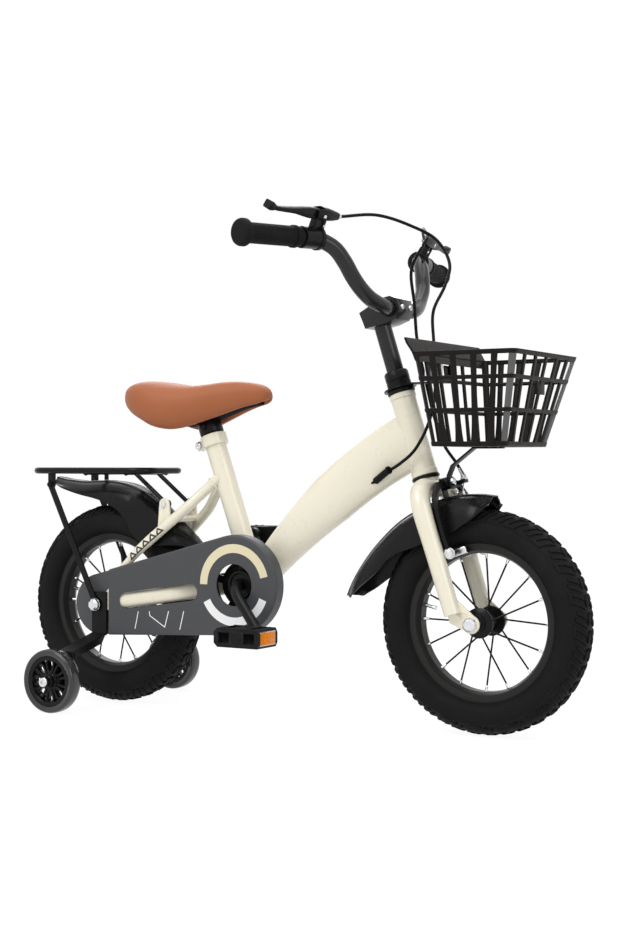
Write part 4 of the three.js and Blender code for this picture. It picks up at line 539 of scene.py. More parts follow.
class Graph:
    """A tree whose nodes come from one method."""

    def __init__(self, owner):
        owner.use_nodes = True
        self.tree = owner.node_tree

    def node(self, kind, settings=(), links=(), output=0):
        node = self.tree.nodes.new(kind)
        for key, value in dict(settings).items():
            setattr(node, key, value)
        for key, value in dict(links).items():
            self.link(node.inputs[key], value)
        return Shade(self, node.outputs[output])

    def link(self, socket, value):
        if isinstance(value, Shade):
            self.tree.links.new(value.socket, socket)
        else:
            socket.default_value = value


class Finish(Graph):
    """A material on one Principled shader."""

    def __init__(self, name, colour, roughness, metallic=0.0, **constants):
        self.material = bpy.data.materials.new(name)
        super().__init__(self.material)
        self.shader = self.tree.nodes["Principled BSDF"]
        self.colour = (*colour, 1)
        self.set("Base Color", self.colour)
        self.set("Roughness", roughness)
        self.set("Metallic", metallic)
        for key, value in constants.items():
            self.set(key.replace("_", " ").title().replace("Ior", "IOR"), value)
        self.coordinates = self.node("ShaderNodeTexCoord", output="Object")
        finishes[name] = self.material

    def set(self, name, value):
        self.link(self.shader.inputs[name], value)

    def noise(self, scale, detail=3.0, roughness=0.55, stretch=(1, 1, 1)):
        where = self.node("ShaderNodeMapping", {}, {"Vector": self.coordinates, "Scale": stretch})
        return self.node("ShaderNodeTexNoise", {}, {
            "Vector": where, "Scale": scale, "Detail": detail, "Roughness": roughness})

    def cells(self, scale, feature="F1"):
        return self.node("ShaderNodeTexVoronoi", {"feature": feature}, {
            "Vector": self.coordinates, "Scale": scale})

    def mix(self, factor, first, second):
        return self.node("ShaderNodeMix", {"data_type": "RGBA"}, {0: factor, 6: first, 7: second}, 2)

    def axes(self):
        split = self.node("ShaderNodeSeparateXYZ", {}, {"Vector": self.coordinates})
        outputs = split.socket.node.outputs
        return [Shade(self, outputs[i]) for i in range(3)]

    def bump(self, height, strength, distance):
        self.set("Normal", self.node("ShaderNodeBump", {}, {
            "Height": height, "Strength": strength, "Distance": distance}))

    def varied(self, scale, amount):
        """The base colour, a little darker and lighter in soft patches."""
        dark = tuple(c * (1 - amount) for c in self.colour[:3]) + (1,)
        light = tuple(min(c * (1 + amount), 1) for c in self.colour[:3]) + (1,)
        return self.mix(self.noise(scale, 2), dark, light)


def paint(name, colour, roughness=0.28, coat=0.6, grain=900, strength=0.015, amount=0.006, shine=0.5):
    """Sprayed paint under a thin coat, with a fine skin."""
    finish = Finish(name, colour, roughness, coat_weight=coat, coat_roughness=0.08,
                    specular_ior_level=shine)
    finish.set("Base Color", finish.varied(30, amount))
    finish.set("Roughness", roughness + (finish.noise(60) - 0.5) * 0.05)
    finish.bump(finish.noise(grain, 2), strength, 0.0004)
    return finish


def plastic(name, colour, roughness=0.5, grain=1500, strength=0.12, amount=0.08, **constants):
    """Moulded plastic with a fine grain."""
    finish = Finish(name, colour, roughness, **constants)
    finish.set("Base Color", finish.varied(25, amount))
    finish.set("Roughness", roughness + (finish.noise(90) - 0.5) * 0.2)
    finish.bump(finish.noise(grain, 4), strength, 0.0004)
    return finish


def steel(name, colour, roughness=0.3, stretch=(1, 1, 1)):
    """Bare or plated metal, worn in patches."""
    finish = Finish(name, colour, roughness, 1.0)
    worn = finish.noise(220, 4, stretch=stretch)
    finish.set("Base Color", finish.varied(80, 0.12))
    finish.set("Roughness", roughness + (worn - 0.5) * 0.3)
    finish.bump(finish.noise(1800, 2), 0.06, 0.0003)
    return finish


def leather(name, colour):
    """A soft cover with small pores."""
    finish = Finish(name, colour, 0.5, specular_ior_level=0.25, sheen_weight=0.03, sheen_roughness=0.4)
    finish.set("Base Color", finish.varied(18, 0.07))
    pores = finish.cells(950, "DISTANCE_TO_EDGE").clamped()
    finish.set("Roughness", 0.52 + (finish.noise(45) - 0.5) * 0.16)
    finish.bump(pores * 0.6 + finish.noise(500, 3) * 0.5, 0.1, 0.0004)
    return finish


def rubber(name, colour, roughness=0.72):
    """Dull rubber with a little dust."""
    finish = Finish(name, colour, roughness, specular_ior_level=0.1)
    dust = (finish.noise(14, 4) - 0.48) * 1.4
    dusty = tuple(min(c * 1.7 + 0.003, 1) for c in colour) + (1,)
    finish.set("Base Color", finish.mix(dust.clamped(), finish.colour, dusty))
    finish.set("Roughness", roughness + (finish.noise(70) - 0.5) * 0.22)
    finish.bump(finish.noise(1300, 4), 0.14, 0.0005)
    return finish


def near_line(finish, x, z, start, end, half):
    """1 within half a line's width of the stretch from start to end, in metres."""
    (ax, az), (bx, bz) = start, end
    dx, dz = bx - ax, bz - az
    length = dx * dx + dz * dz
    share = ((x - ax) * (dx / length) + (z - az) * (dz / length)).clamped()
    gap_x = x - ax - share * dx
    gap_z = z - az - share * dz
    return (gap_x * gap_x + gap_z * gap_z).under(half * half)


GUARD_LINES = [((-234, 149), (-240, 123)), ((-213, 150), (-212, 144)), ((-212, 144), (-184, 128)),
               ((-184, 128), (-177, 152)), ((-149, 153), (-156, 126))]
GUARD_ARC = Sizes(inner=0.0475, outer=0.0605, face=-0.0598, line_half=0.0007)
UPPER_ARC = radians(14), radians(-179.5)
LOWER_ARC = radians(-153), radians(-21)


def guard_finish(colour):
    """Matt grey plastic with a cream upper arc, a white lower arc and thin white lines on its outer face."""
    finish = plastic("guard_plastic", colour, 0.48, 1300, 0.1, 0.05)
    x, y, z = finish.axes()
    away_x, away_z = x - BRACKET.x * MM, z - BRACKET.z * MM
    square = away_x * away_x + away_z * away_z
    reach = square.math("SQRT", square)
    turn = away_x.math("ARCTAN2", away_z, away_x)
    band = reach.over(GUARD_ARC.inner) * reach.under(GUARD_ARC.outer)
    face = y.under(GUARD_ARC.face)
    upper = band * turn.over(UPPER_ARC[0]) * face + band * turn.under(UPPER_ARC[1]) * face
    lower = band * turn.under(LOWER_ARC[1]) * turn.over(LOWER_ARC[0]) * face
    for start, end in GUARD_LINES:
        ends = [[v * MM for v in point] for point in (start, end)]
        line = near_line(finish, x, z, *ends, GUARD_ARC.line_half) * face
        lower = lower.math("MAXIMUM", lower, line)
    cream = finish.mix(upper, finish.varied(25, 0.05), (*tint(222, 212, 178), 1))
    finish.set("Base Color", finish.mix(lower, cream, (0.86, 0.86, 0.86, 1)))
    return finish


def reflector_finish(colour):
    """Amber plastic with a honeycomb of small prisms, and a faint painted glow in its own colour."""
    # The emission is a painted glow: the reflector is no lamp
    finish = Finish("reflector_amber", colour, 0.25, specular_ior_level=0.2, emission_strength=0.12)
    prism = finish.cells(420)
    finish.set("Emission Color", finish.colour)
    deep = (*[c * 0.55 for c in colour], 1)
    finish.set("Base Color", finish.mix((prism * 1.2).clamped(), (*colour, 1), deep))
    finish.bump(prism, 0.3, 0.0005)
    return finish


def ornament_finish(pale):
    """A row of dark triangles with pale hearts, by the strip's own UV map."""
    finish = Finish("stay_ornament", pale, 0.3, coat_weight=0.5, coat_roughness=0.1)
    place = finish.node("ShaderNodeTexCoord", output="UV")
    split = finish.node("ShaderNodeSeparateXYZ", {}, {"Vector": place}).socket.node.outputs
    across, along = Shade(finish, split[0]), Shade(finish, split[1])
    repeats = along * 5
    saw = repeats.math("FRACT", repeats) * 2 - 1
    peak = 1 - saw.math("ABSOLUTE", saw)
    high = 1 - across
    dark = high.math("LESS_THAN", high, peak * 0.86 + 0.1)
    heart = high.math("LESS_THAN", high, peak * 0.8 - 0.25) * high.over(0.2)
    finish.set("Base Color", finish.mix(dark - heart, finish.colour, (0.006, 0.006, 0.006, 1)))
    finish.set("Roughness", 0.34 + (finish.noise(90) - 0.5) * 0.1)
    finish.bump(finish.noise(900, 2), 0.05, 0.0004)
    return finish


def make_finishes():
    colours = bpy.context.scene.bike_colours
    paint("frame_paint", colours.paint)
    paint("black_metal", colours.trim, 0.3, coat=0.02, grain=1400, strength=0.1, amount=0.08, shine=0.14)
    paint("bar_paint", colours.bar, 0.2, coat=0.08, grain=1100, strength=0.05, amount=0.06, shine=0.25)
    guard_finish(colours.guard)
    plastic("black_plastic", colours.trim, 0.26, 1100, 0.06, 0.07, specular_ior_level=0.16)
    plastic("pan_plastic", colours.trim, 0.85, 1100, 0.1, 0.1, specular_ior_level=0.08)
    plastic("pedal_plastic", colours.trim, 0.5, 1300, 0.2, 0.1, specular_ior_level=0.15)
    plastic("basket_plastic", colours.basket, 0.42, 1200, 0.14, 0.14, specular_ior_level=0.12)
    # Lighter grey for the front corner posts: a painted highlight where the corners catch the light, not a
    # grey plastic of their own
    plastic("basket_highlight_grey", tint(84, 83, 83), 0.4, 1200, 0.12, 0.08)
    plastic("cable_sleeve", tint(13, 13, 14), 0.35, 900, 0.08, 0.1, specular_ior_level=0.12)
    plastic("smoky_ring", tint(40, 40, 42), 0.22, 700, 0.08, 0.25, coat_weight=0.15, coat_roughness=0.1)
    steel("bright_steel", (0.72, 0.73, 0.75), 0.27)
    steel("chain_steel", (0.42, 0.41, 0.4), 0.36, (1, 1, 3))
    paint("rim_paint", tint(36, 35, 34), 0.33, coat=0.02, grain=1300, strength=0.06, amount=0.06,
          shine=0.16)
    leather("saddle_cover", colours.saddle)
    rubber("tyre_rubber", colours.rubber, 0.66)
    rubber("grip_rubber", tuple(c * 0.8 for c in colours.rubber), 0.6)
    reflector_finish(colours.reflector)
    ornament_finish(colours.paint)


# Frame

CHAIN_STAY_SHARES = [(0.03, 0.154), (0.228, 0.167), (0.4, 0.276), (0.449, 0.301), (0.871, 0.321)]
SEAT_STAY_SHARES = [
    (1.292, 0.064, 1.276), (1.131, 0.115, 1.128), (0.978, 0.2, 0.965), (0.728, 0.262, 0.753),
    (0.58, 0.295, 0.628), (0.439, 0.308, 0.506), (0.25, 0.3205, 0.318)]
DROPOUT_SHARES = [(0.93, -0.22), (1.55, -0.2), (1.6, 1), (1.52, 1.9), (1.2, 2), (0.95, 1.15), (0.4, 0.55)]
DOWN_TUBE = Sizes(
    top=276, bow=34, ahead=25, start_share=0.07, steps=48, sides=40, foot_half=22, head_half=17.5,
    foot_depth=22, middle_depth=39, head_depth=42)
HEAD_TUBE = Sizes(low=219.8, high=342.2, radius=18, bore=15.5, collar=19.2, collar_long=8)
SHELL = Sizes(radius=27, half=34)
SEAT_RADIUS = 16
STAY = Sizes(half=8, depth=12, steps=24, square=2.6, sides=20, high_steps=30,
             high_radii=(8, 8, 8, 8, 8, 6.4, 6))
DROPOUT = Sizes(nose=14, start=100, end=300, steps=16, long=28, low=48, high=52)
TAB = Sizes(x=-203, z=313, radius=9, half=12, ahead_drop=26.4, back_drop=38.4, low=33, high=37, hole=2.8)
BRIDGE = Sizes(angle=radians(47), ridge_share=1.129, above=6.2, half=40, radius=5)
SEAT_BEAD = Sizes(radius=16.6)
HIGH_BEAD = Sizes(share=(1.225, 0.086, 1.213), axis=(-0.16, 0.05, -0.15), radius=8.6, thick=1.8)
LOW_BEAD = Sizes(at=(-14, 25.2, -1), axis=(-1, 0.08, -0.1), radius=11.2, thick=1.6)
HEADSET_CUP = Sizes(bore=14.6, radius=20, lower=(215, 219.5, 0.8), upper=(342.5, 348.5, 1.2))
ORNAMENT = Sizes(steps=60, first=31, last=51, middle=-90, half_turn=42, columns=8, radius=8.15, thick=0.12)
CUP = Sizes(bore=8.8, radius=24, low=34.3, high=36.1, notch_at=20, notch=2.4, notches=6, bearing=15,
            bearing_low=34, bearing_high=36.6)
COLLAR = Sizes(bore=16.3, radius=20.5, long=18, ear_back=30, ear_ahead=18.5, ear_inset=2, ear_thick=4.5,
               ears=(-7, 2.5), bolt_back=25, bolt_half=7, shaft_half=8)


def down_tube():
    """The fat tube, arched between the bottom bracket and the head."""
    top = HEAD @ Vector((0, 0, DOWN_TUBE.top))
    along = (top - BRACKET).normalized()
    bend = (BRACKET + top) / 2 + along.cross(Y_AXIS) * DOWN_TUBE.bow + along * DOWN_TUBE.ahead
    start, last = DOWN_TUBE.start_share, DOWN_TUBE.steps - 1
    shares = [start + (1 - start) * i / last for i in range(DOWN_TUBE.steps)]
    points = [(1 - t) ** 2 * BRACKET + 2 * t * (1 - t) * bend + t * t * top for t in shares]
    foot, middle, head = DOWN_TUBE.foot_depth, DOWN_TUBE.middle_depth, DOWN_TUBE.head_depth
    depths = [foot + (middle - foot) * 2 * t if t < 0.5 else middle + (head - middle) * (2 * t - 1)
              for t in shares]
    halves = [DOWN_TUBE.foot_half + (DOWN_TUBE.head_half - DOWN_TUBE.foot_half) * t for t in shares]
    return swept(points, halves, depths, sides=DOWN_TUBE.sides)


def stays():
    reach = REAR_AXLE - BRACKET
    low = [BRACKET + reach * share + Y_AXIS * side * WHEEL for share, side in CHAIN_STAY_SHARES]
    high = [REAR_AXLE + WHEEL * Vector(share) for share in SEAT_STAY_SHARES]
    lower = swept(smooth(low, STAY.steps), STAY.half, STAY.depth, sides=STAY.sides, square=STAY.square)
    radii = varied(STAY.high_radii, STAY.high_steps)
    return [lower, swept(smooth(high, STAY.high_steps), radii, sides=STAY.sides)]


def rear_dropout():
    nose = arc(REAR_AXLE.x, REAR_AXLE.z, DROPOUT.nose, DROPOUT.start, DROPOUT.end, DROPOUT.steps)
    tongue = [(REAR_AXLE.x + DROPOUT.long * x, REAR_AXLE.z + DROPOUT.long * z) for x, z in DROPOUT_SHARES]
    return side_plate(nose + tongue, DROPOUT.low, DROPOUT.high, **SOFT_EDGE)


def stay_tab():
    outline = [(TAB.x + TAB.half, TAB.z - TAB.ahead_drop), *arc(TAB.x, TAB.z, TAB.radius, 0, 180, 14),
               (TAB.x - TAB.half, TAB.z - TAB.back_drop)]
    tab = side_plate(outline, TAB.low, TAB.high, **SOFT_EDGE)
    return cut(tab, hole_at(TAB))


def hole_at(tab):
    """A cutter through a plate that stands between two values of y."""
    return rod((tab.x, tab.low - OVERRUN, tab.z), (tab.x, tab.high + OVERRUN, tab.z), tab.hole)


def stay_beads():
    high = REAR_AXLE + WHEEL * Vector(HIGH_BEAD.share)
    low = BRACKET + Vector(LOW_BEAD.at)
    return [bead(high, HIGH_BEAD.axis, HIGH_BEAD.radius, HIGH_BEAD.thick),
            bead(low, LOW_BEAD.axis, LOW_BEAD.radius, LOW_BEAD.thick)]


def head_tube():
    low, high, radius = HEAD_TUBE.low, HEAD_TUBE.high, HEAD_TUBE.radius
    tube = turned([(0, low), (radius, low), (radius, high), (0, high)], HEAD @ standing(), ROUND)
    collars = [turned(ring_profile(HEAD_TUBE.bore, HEAD_TUBE.collar, foot, foot + HEAD_TUBE.collar_long,
                                   0.8),
                      HEAD @ standing(), ROUND) for foot in (low, high - HEAD_TUBE.collar_long)]
    return [tube, *collars]


def build_frame():
    shell = turned(disc_profile(SHELL.radius, -SHELL.half, SHELL.half, 1), Matrix.Translation(BRACKET),
                   ROUND)
    away = Vector((cos(BRIDGE.angle), 0, sin(BRIDGE.angle)))
    bridge_at = REAR_AXLE + (WHEEL * BRIDGE.ridge_share + BRIDGE.above) * away
    bridge = rod(bridge_at - BRIDGE.half * Y_AXIS, bridge_at + BRIDGE.half * Y_AXIS, BRIDGE.radius)
    seat_axis = (SEAT_TOP - BRACKET).normalized()
    seat_bead = bead(BRACKET + seat_axis * SHELL.radius, seat_axis, SEAT_BEAD.radius)
    side = joined([*stays(), rear_dropout(), stay_tab(), *stay_beads()])
    seat_tube = rod(BRACKET, SEAT_TOP, SEAT_RADIUS, DOWN_TUBE.sides)
    whole = joined([down_tube(), *head_tube(), shell, bridge, seat_tube, seat_bead, side,
                    copy_of(side, MIRROR)])
    fit(whole, "frame_weldment", "frame", "frame_paint", "frame")
    fit(stay_ornament(), "stay_ornament_right", "frame", "stay_ornament", slot="frame_paint")
    for name in ("lower", "upper"):
        profile = ring_profile(HEADSET_CUP.bore, HEADSET_CUP.radius, *getattr(HEADSET_CUP, name))
        stand_in(turned(profile, HEAD @ standing()), f"headset_cup_{name}", "frame", "black_metal")
    build_cups()
    build_seat_collar()


def stay_ornament():
    """A thin strip on the outer face of the right seat stay."""
    high = [REAR_AXLE + WHEEL * Vector((x, -y, z)) for x, y, z in SEAT_STAY_SHARES]
    points = smooth(high, ORNAMENT.steps)[ORNAMENT.first:ORNAMENT.last]
    spread = [2 * j / ORNAMENT.columns - 1 for j in range(ORNAMENT.columns + 1)]
    angles = [radians(ORNAMENT.middle + ORNAMENT.half_turn * share) for share in spread]
    rows = []
    for i, point in enumerate(points):
        tangent = (points[min(i + 1, len(points) - 1)] - points[max(i - 1, 0)]).normalized()
        along = tangent.cross(Y_AXIS).normalized()
        side = along.cross(tangent).normalized()
        rows.append([point + ORNAMENT.radius * (side * sin(a) + along * cos(a)) for a in angles])
    strip = grid(rows)
    apply(strip, "SOLIDIFY", thickness=ORNAMENT.thick, offset=0)
    return smooth_shade(strip)


def build_cups():
    place = Matrix.Translation(BRACKET)
    for name, _, flip in SIDES:
        cup = turned(ring_profile(CUP.bore, CUP.radius, CUP.low, CUP.high), place, ROUND)
        notch = rod(BRACKET + Vector((0, CUP.low - OVERRUN, CUP.notch_at)),
                    BRACKET + Vector((0, CUP.high + OVERRUN, CUP.notch_at)), CUP.notch, 12)
        cut(cup, repeated(notch, CUP.notches, centre=BRACKET))
        bearing = turned(ring_profile(CUP.bore, CUP.bearing, CUP.bearing_low, CUP.bearing_high, 0.4), place,
                         SMALL_ROUND)
        stand_in(placed(joined([cup, bearing]), flip), f"bottom_bracket_cup_{name}", "frame",
                 "bright_steel")


def build_seat_collar():
    band = turned(ring_profile(COLLAR.bore, COLLAR.radius, -COLLAR.long, 0, 1), SEAT @ standing(), ROUND)
    ears = [block((-COLLAR.ear_back, low, COLLAR.ear_inset - COLLAR.long),
                  (-COLLAR.ear_ahead, low + COLLAR.ear_thick, -COLLAR.ear_inset), SEAT, 1.6, 4)
            for low in COLLAR.ears]
    fit(joined([band, *ears]), "seat_collar", "frame", "frame_paint", "seat_clamp")
    middle = SEAT @ Matrix.Translation((-COLLAR.bolt_back, 0, -COLLAR.long / 2))
    head = dome_bolt(sideways((0, -COLLAR.bolt_half, 0), -1, middle), 5.6, 4.4)
    nut = hex_bolt(sideways((0, COLLAR.bolt_half, 0), 1, middle), 4.8, 4)
    ends = [middle @ (reach * Y_AXIS) for reach in (-COLLAR.shaft_half, COLLAR.shaft_half)]
    shaft = rod(*ends, 2.4, 16)
    fit(joined([head, nut, shaft]), "seat_collar_bolt", "frame", "bright_steel")


# Saddle

SADDLE_SHARES = [
    (-0.55, 0.34, 0.7, 0.53), (-0.534, 0.54, 0.755, 0.47), (-0.499, 0.71, 0.8, 0.4),
    (-0.441, 0.857, 0.835, 0.31), (-0.372, 0.95, 0.84, 0.225), (-0.291, 0.993, 0.815, 0.135),
    (-0.206, 0.964, 0.78, 0.09), (-0.125, 0.871, 0.757, 0.1), (-0.048, 0.757, 0.76, 0.15),
    (0.037, 0.63, 0.78, 0.22), (0.118, 0.521, 0.8, 0.29), (0.203, 0.43, 0.8, 0.365),
    (0.277, 0.357, 0.78, 0.42), (0.339, 0.293, 0.745, 0.455), (0.377, 0.214, 0.69, 0.49),
    (0.396, 0.13, 0.63, 0.52)]
SADDLE_RING_SHARES = [
    (0, 0.14), (0.3, 0.14), (0.5, 0.14), (0.6, 0), (0.86, 0.05), (0.98, 0.25), (1, 0.5), (0.93, 0.74),
    (0.75, 0.9), (0.45, 0.985), (0.15, 1), (0, 1.001)]
SADDLE = Sizes(long=259, half=70, rise=100, stations=64, ring_steps=30)
PAN = Sizes(stations=40, back=2, front=-4, half_share=0.47, gap=0.4)
PAN_SECTION = [(1, 0), (1, -2.2), (0.92, -3.8), (0.6, -4.5), (0, -4.6)]
SEAT_POST = Sizes(radius=13.6, foot=-150, top=13)
SADDLE_BOLT = Sizes(reach=18, up=14, radius=5.4, height=4)


def saddle_stations(count):
    stations = smooth([Vector(share) for share in SADDLE_SHARES], count)
    return [(SEAT_TOP.x + x * SADDLE.long, half * SADDLE.half, SEAT_TOP.z + top * SADDLE.rise,
             SEAT_TOP.z + low * SADDLE.rise) for x, half, top, low in stations]


def mirrored_ring(side):
    return side + [Vector((p.x, -p.y, p.z)) for p in reversed(side)]


def saddle_cushion():
    shares = smooth([Vector((y, z, 0)) for y, z in SADDLE_RING_SHARES], SADDLE.ring_steps)
    shares = [(max(point.x, 0), min(max(point.y, 0), 1)) for point in shares]
    rings = [mirrored_ring([Vector((x, y * half, low + (top - low) * z)) for y, z in shares])
             for x, half, top, low in saddle_stations(SADDLE.stations)]
    return wrapped(rings, angle=70)


def saddle_pan():
    rings = []
    for x, half, top, low in saddle_stations(PAN.stations)[PAN.back:PAN.front]:
        wide = half * PAN.half_share
        hollow = low + (top - low) * SADDLE_RING_SHARES[0][1] - PAN.gap
        side = [Vector((x, wide * y, hollow + z)) for y, z in PAN_SECTION]
        rings.append(side + mirrored_ring(side[:-1])[len(side) - 1:])
    return wrapped(rings, angle=50)


def build_saddle():
    cover = fit(saddle_cushion(), "saddle_cushion", "seat", "saddle_cover", "saddle")
    fit(saddle_pan(), "saddle_pan", "seat", "pan_plastic", "saddle_base", slot="black_plastic")
    finished("saddle_clamp", "seat", "black_metal", 1.2, segments=3)
    bolts = [hex_bolt(sideways((0, side * SADDLE_BOLT.reach, SADDLE_BOLT.up), side, SEAT),
                      SADDLE_BOLT.radius, SADDLE_BOLT.height) for side in (-1, 1)]
    fit(joined(bolts), "saddle_clamp_bolt", "seat", "black_metal", slot="bright_steel")
    post = turned(disc_profile(SEAT_POST.radius, SEAT_POST.foot, SEAT_POST.top, 1), SEAT @ standing(),
                  ROUND)
    stand_in(post, "seat_post", "seat", "black_metal", "bar_paint")


# Fork and steering head

CROWN = Sizes(ahead=6, up=200.5, half=24, radius=14)
LEG = [(6, 12, 200.5), (6, 24, 200.5), (6, 37, 197.5), (6, 46, 189), (6, 52, 168), (6, 51.2, 120),
       (6, 50.6, 70), (6, 50, 20)]
LEG_SIZES = Sizes(steps=40, sides=32, shoulder=180, foot=20, taper_long=160, foot_radius=11.6, gain=2.2)
TIP = Sizes(nose=12.6, start=-150, end=50, steps=18, low=44, high=48, x=12, z=21, hole=2)
TIP_BACK = [(15, 40), (-3, 40), (-3, 10)]
STEERER = [(12.8, 200.5), (14.3, 200.5), (14.3, 368), (12.8, 368)]
RACE = ring_profile(12, 18.4, 208, 214.4, 1.4)
BOSS = Sizes(back=-15, ahead=21, up=200, radius=9.5)
LOCKNUT = [
    (14.6, 351.5), (16.6, 351.5), (17.5, 352.4), (17.5, 360), (16.9, 360.6), (16.9, 361.8), (17.5, 362.4),
    (17.5, 373), (16, 375.5), (12.8, 375.5), (12.8, 368.3), (14.6, 368.3)]
STEM_BOLT = Sizes(ahead=16.2, half=12, up=2, radius=3.6, height=3)


def fork_leg():
    places = smooth(LEG, LEG_SIZES.steps)
    radii = [CROWN.radius if p.z > LEG_SIZES.shoulder else
             LEG_SIZES.foot_radius + LEG_SIZES.gain * (p.z - LEG_SIZES.foot) / LEG_SIZES.taper_long
             for p in places]
    leg = swept(places, radii, across=X_AXIS, sides=LEG_SIZES.sides)
    outline = arc(FORK_RAKE, 0, TIP.nose, TIP.start, TIP.end, TIP.steps) + TIP_BACK
    tip = side_plate(outline, TIP.low, TIP.high, **SOFT_EDGE)
    return joined([leg, cut(tip, hole_at(TIP))])


def build_fork():
    steerer = turned(STEERER, standing())
    crown = rod((CROWN.ahead, -CROWN.half, CROWN.up), (CROWN.ahead, CROWN.half, CROWN.up), CROWN.radius)
    boss = rod((BOSS.back, 0, BOSS.up), (BOSS.ahead, 0, BOSS.up), BOSS.radius)
    leg = fork_leg()
    whole = joined([steerer, crown, boss, turned(RACE, standing(), ROUND), leg, copy_of(leg, MIRROR)])
    stand_in(placed(whole, HEAD), "fork", "steering", "frame_paint")
    stand_in(turned(LOCKNUT, HEAD @ standing(), ROUND), "headset_locknut", "steering", "black_metal")
    finished("stem", "steering", "bar_paint", 1.4, segments=3)
    bolts = []
    for side in (-1, 1):
        at = CLAMP + Vector((STEM_BOLT.ahead, side * STEM_BOLT.half, STEM_BOLT.up))
        place = Matrix.Translation(at) @ Matrix.Rotation(pi / 2, 4, "Y")
        bolts.append(dome_bolt(place, STEM_BOLT.radius, STEM_BOLT.height))
    fit(joined(bolts), "stem_bolts", "steering", "bright_steel")


# Handlebar, grips and levers

BAR = Sizes(radius=11, sides=32, bend_steps=46, end_steps=12)
GRIP_END = [(0, 3), (13, 3), (16, 2.6), (17.6, 1.2), (18.5, -1), (18.5, -6), (17.4, -7.6), (13.6, -8.4)]
GRIP_NECK = [
    (13.2, -92.4), (15, -93.2), (15.4, -94), (15.4, -98), (14.8, -98.8), (13.8, -99.4), (13.8, -105),
    (11.6, -105), (11.6, 0.3), (0, 0.3)]
GRIP_RIBS = Sizes(start=-10, long=82, low=13.1, high=13.9)
HOOD = [(0, 13, 35.5), (0, 4, 36), (0, -8, 35.4), (0, -19, 34.6), (0, -31, 34)]
HOOD_HALVES, HOOD_DEPTHS, HOOD_STEPS = (8.6, 9, 8.6, 7.2, 5.2), (7.4, 9, 8.8, 7.4, 5.2), 22
HOOD_SLOT = (-6, 1, 20), (6, 30, 60)
CABLE_BARREL = [(3, -29), (4, -29), (4, -32), (3.4, -32.6), (4, -33.2), (3.8, -36), (3, -36)]
BLADE = [(0, -3, 34), (0, 8, 35), (0, 22, 35.4), (0, 36, 36), (0, 52, 36.6), (0, 70, 36.6), (0, 86, 37.4),
         (0, 95, 39.4), (0, 102.5, 41.8)]
BLADE_HALVES = (3.6, 4.2, 5.2, 5.6, 5.6, 5.6, 5.4, 5.2, 5.2)
BLADE_DEPTHS, BLADE_STEPS = (5.8, 7.2, 7.6, 6.2, 4.4, 3.6, 3.2, 3.4, 3), 44
KNOB = [(0, 91, 38.4), (0, 97, 39.8), (0, 103, 41.6)]
KNOB_HALVES, KNOB_DEPTHS, KNOB_STEPS = (5.2, 6.2, 6), (4.4, 6.2, 5.8), 9


def oval(points, halves, depths, count, **section):
    """A smooth sweep in the plane across X, whose section's sizes are spread over its length."""
    return swept(smooth(points, count), varied(halves, count), varied(depths, count), across=X_AXIS,
                 **section)


def build_handlebar():
    half = smooth(BAR_POINTS[:-1], BAR.bend_steps) + smooth(BAR_POINTS[-2:], BAR.end_steps)[1:]
    other = [Vector((p.x, -p.y, p.z)) for p in reversed(half)]
    bar = swept([CLAMP + p for p in other + half], BAR.radius, across=X_AXIS, sides=BAR.sides)
    stand_in(bar, "handlebar", "steering", "bar_paint")
    for name, _, flip in SIDES:
        stand_in(placed(grip(), flip @ grip_place(0)), f"grip_{name}", "steering", "grip_rubber")
        build_lever(name, flip @ grip_place(LEVER_BACK))


def grip():
    ribs = bpy.context.scene.bike_sizes.grip_ribs
    step = GRIP_RIBS.long / ribs
    low, high = GRIP_RIBS.low, GRIP_RIBS.high
    profile = list(GRIP_END)
    for i in range(ribs):
        start = GRIP_RIBS.start - i * step
        profile += [(low, start), (high, start - 0.25 * step), (high, start - 0.6 * step),
                    (low, start - 0.85 * step)]
    return turned(profile + GRIP_NECK, steps=ROUND)


def lever_mount():
    """The clamp round the bar, two posts and the long hood over the lever's root."""
    band = turned(ring_profile(11.5, 15, -9, 24, 1))
    lip = turned(ring_profile(11.5, 16.4, -10, -4, 0.8))
    posts = [block((-5.6, low, 12), (5.6, low + 5, 30), edge=1, segments=3) for low in (-9, 6)]
    roof = oval(HOOD, HOOD_HALVES, HOOD_DEPTHS, HOOD_STEPS, sides=28, square=3)
    cut(roof, block(*HOOD_SLOT, edge=0))
    return joined([smooth_shade(roof), band, lip, *posts])


def lever_screws():
    across = Matrix.Rotation(pi / 2, 4, "Y")
    pin_head = dome_bolt(Matrix.Translation((8.4, 0, LEVER_OFFSET)) @ across, 2.6, 1.4)
    clamp_screw = dome_bolt(Matrix.Translation((5.4, -6.5, 20)) @ across, 2.4, 1.6)
    barrel = turned(CABLE_BARREL, Matrix.Translation((0, 0, LEVER_OFFSET)), SMALL_ROUND)
    return joined([pin_head, clamp_screw, barrel])


def lever_blade():
    """A blade with a thick root inside the hood, a flat middle and a square knob."""
    blade = oval(BLADE, BLADE_HALVES, BLADE_DEPTHS, BLADE_STEPS, sides=20, square=3.6)
    knob = oval(KNOB, KNOB_HALVES, KNOB_DEPTHS, KNOB_STEPS, sides=20, square=5)
    return joined([blade, knob, rod((-3.6, 0, LEVER_OFFSET), (3.6, 0, LEVER_OFFSET), 5.8)])


def build_lever(name, place):
    stand_in(placed(lever_mount(), place), f"lever_mount_{name}", "steering", "black_plastic")
    fit(placed(lever_screws(), place), f"lever_mount_{name}_screws", "steering", "bright_steel")
    stand_in(placed(lever_blade(), place), f"brake_lever_{name}", f"brake_lever_{name}", "black_metal",
             "bar_paint")


# Wheels

